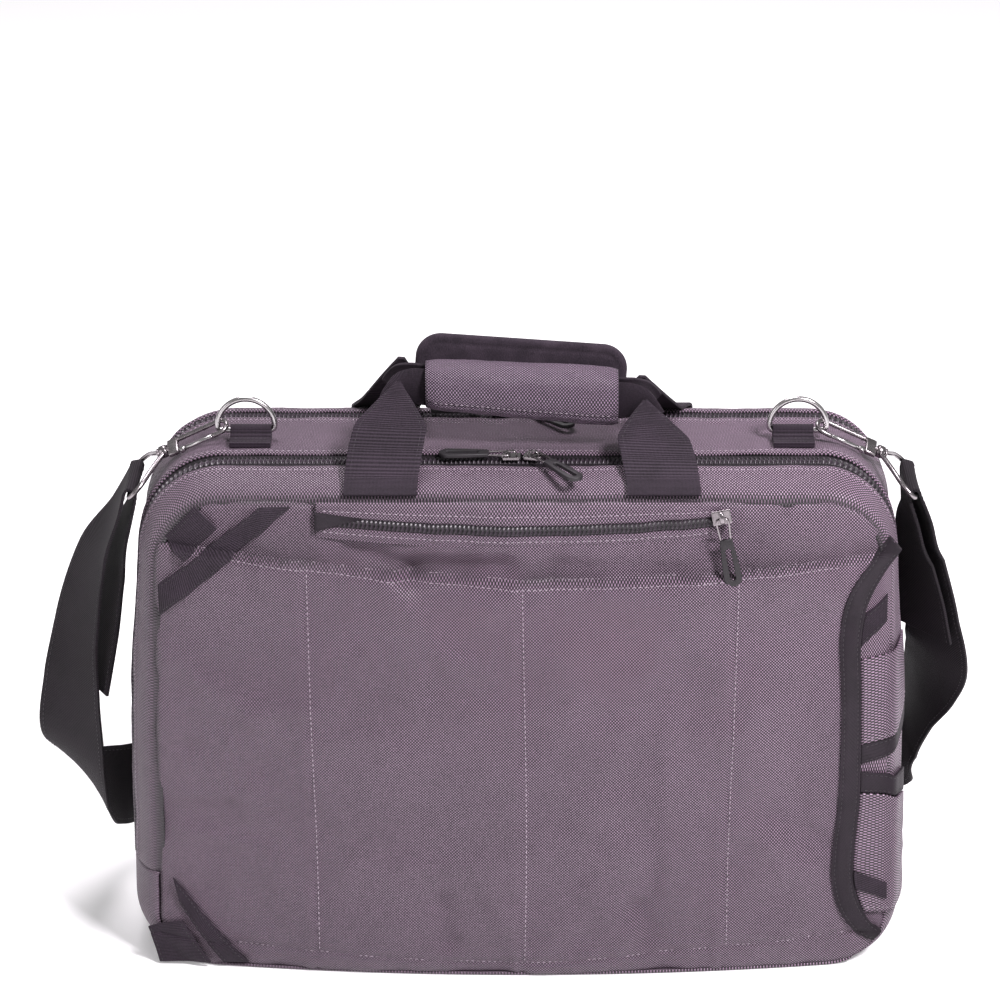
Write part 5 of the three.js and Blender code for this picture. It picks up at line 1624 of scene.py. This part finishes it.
make_front_panel()
make_corner_panel()
make_binding()
make_back_panel()
make_gussets()
make_base()
make_long_zip("front_zip", front_zip_y)
make_long_zip("back_zip", back_zip_y)
make_front_stitches()
make_corner_pieces()
make_pocket()
make_side_layers()
make_hardware()
make_ring_tabs()
make_shoulder_strap()
make_handle("front_handle", -1)
make_handle("back_handle", 1)
make_grip()
make_flap()
make_sliders()


# Floor, lights and camera

def make_stage():
    paper = Finish("pale_paper", "fabric", 0.9)
    paper.shader.inputs["Emission Strength"].default_value = studio.floor_glow
    paper.shader.inputs["Emission Color"].default_value = (1, 1, 1, 1)
    clouds = paper.cloud(*paper.place(), 300, 2.0)
    paper.feed("Base Color", paper.blend(clouds, (0.86, 0.86, 0.86), (0.90, 0.90, 0.90)))
    mesh = bmesh.new()
    bmesh.ops.create_grid(mesh, x_segments=1, y_segments=1, size=studio.floor_half)
    data = bpy.data.meshes.new("floor")
    mesh.to_mesh(data)
    mesh.free()
    floor = bpy.data.objects.new("floor", data)
    data.materials.append(paper.data)
    bpy.context.scene.collection.objects.link(floor)
    floor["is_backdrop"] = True
    world = bpy.context.scene.world or bpy.data.worlds.new("studio")
    bpy.context.scene.world = world
    world.use_nodes = True
    sky = world.node_tree.nodes["Background"]
    sky.inputs["Color"].default_value = (1, 1, 1, 1)
    sky.inputs["Strength"].default_value = studio.sky
    for name, spot, power, size in lamps:
        lamp = bpy.data.lights.new(name, "AREA")
        lamp.energy = power
        lamp.size = size
        lamp.color = studio.lamp_colour
        holder = bpy.data.objects.new(name, lamp)
        holder.location = spot
        aim = Vector((0, 0, view.aim)) - Vector(spot)
        holder.rotation_euler = aim.to_track_quat("-Z", "Y").to_euler()
        bpy.context.scene.collection.objects.link(holder)


def make_camera():
    lens = bpy.data.cameras.new("camera")
    lens.sensor_width = 36
    lens.lens = view.lens
    lens.shift_x, lens.shift_y = view.shift
    camera = bpy.data.objects.new("camera", lens)
    elevation = math.radians(view.elevation)
    camera.location = (0, -view.distance * math.cos(elevation), view.aim + view.distance * math.sin(elevation))
    camera.rotation_euler = (math.pi / 2 - elevation, 0, 0)
    bpy.context.scene.collection.objects.link(camera)
    bpy.context.scene.camera = camera


make_stage()
make_camera()
bpy.context.scene.view_settings.view_transform = "Standard"
plain = lambda box: [[float(value) for value in corner_point] for corner_point in box]
{"cad": plain(cad_bounds), "visual": plain(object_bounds())}
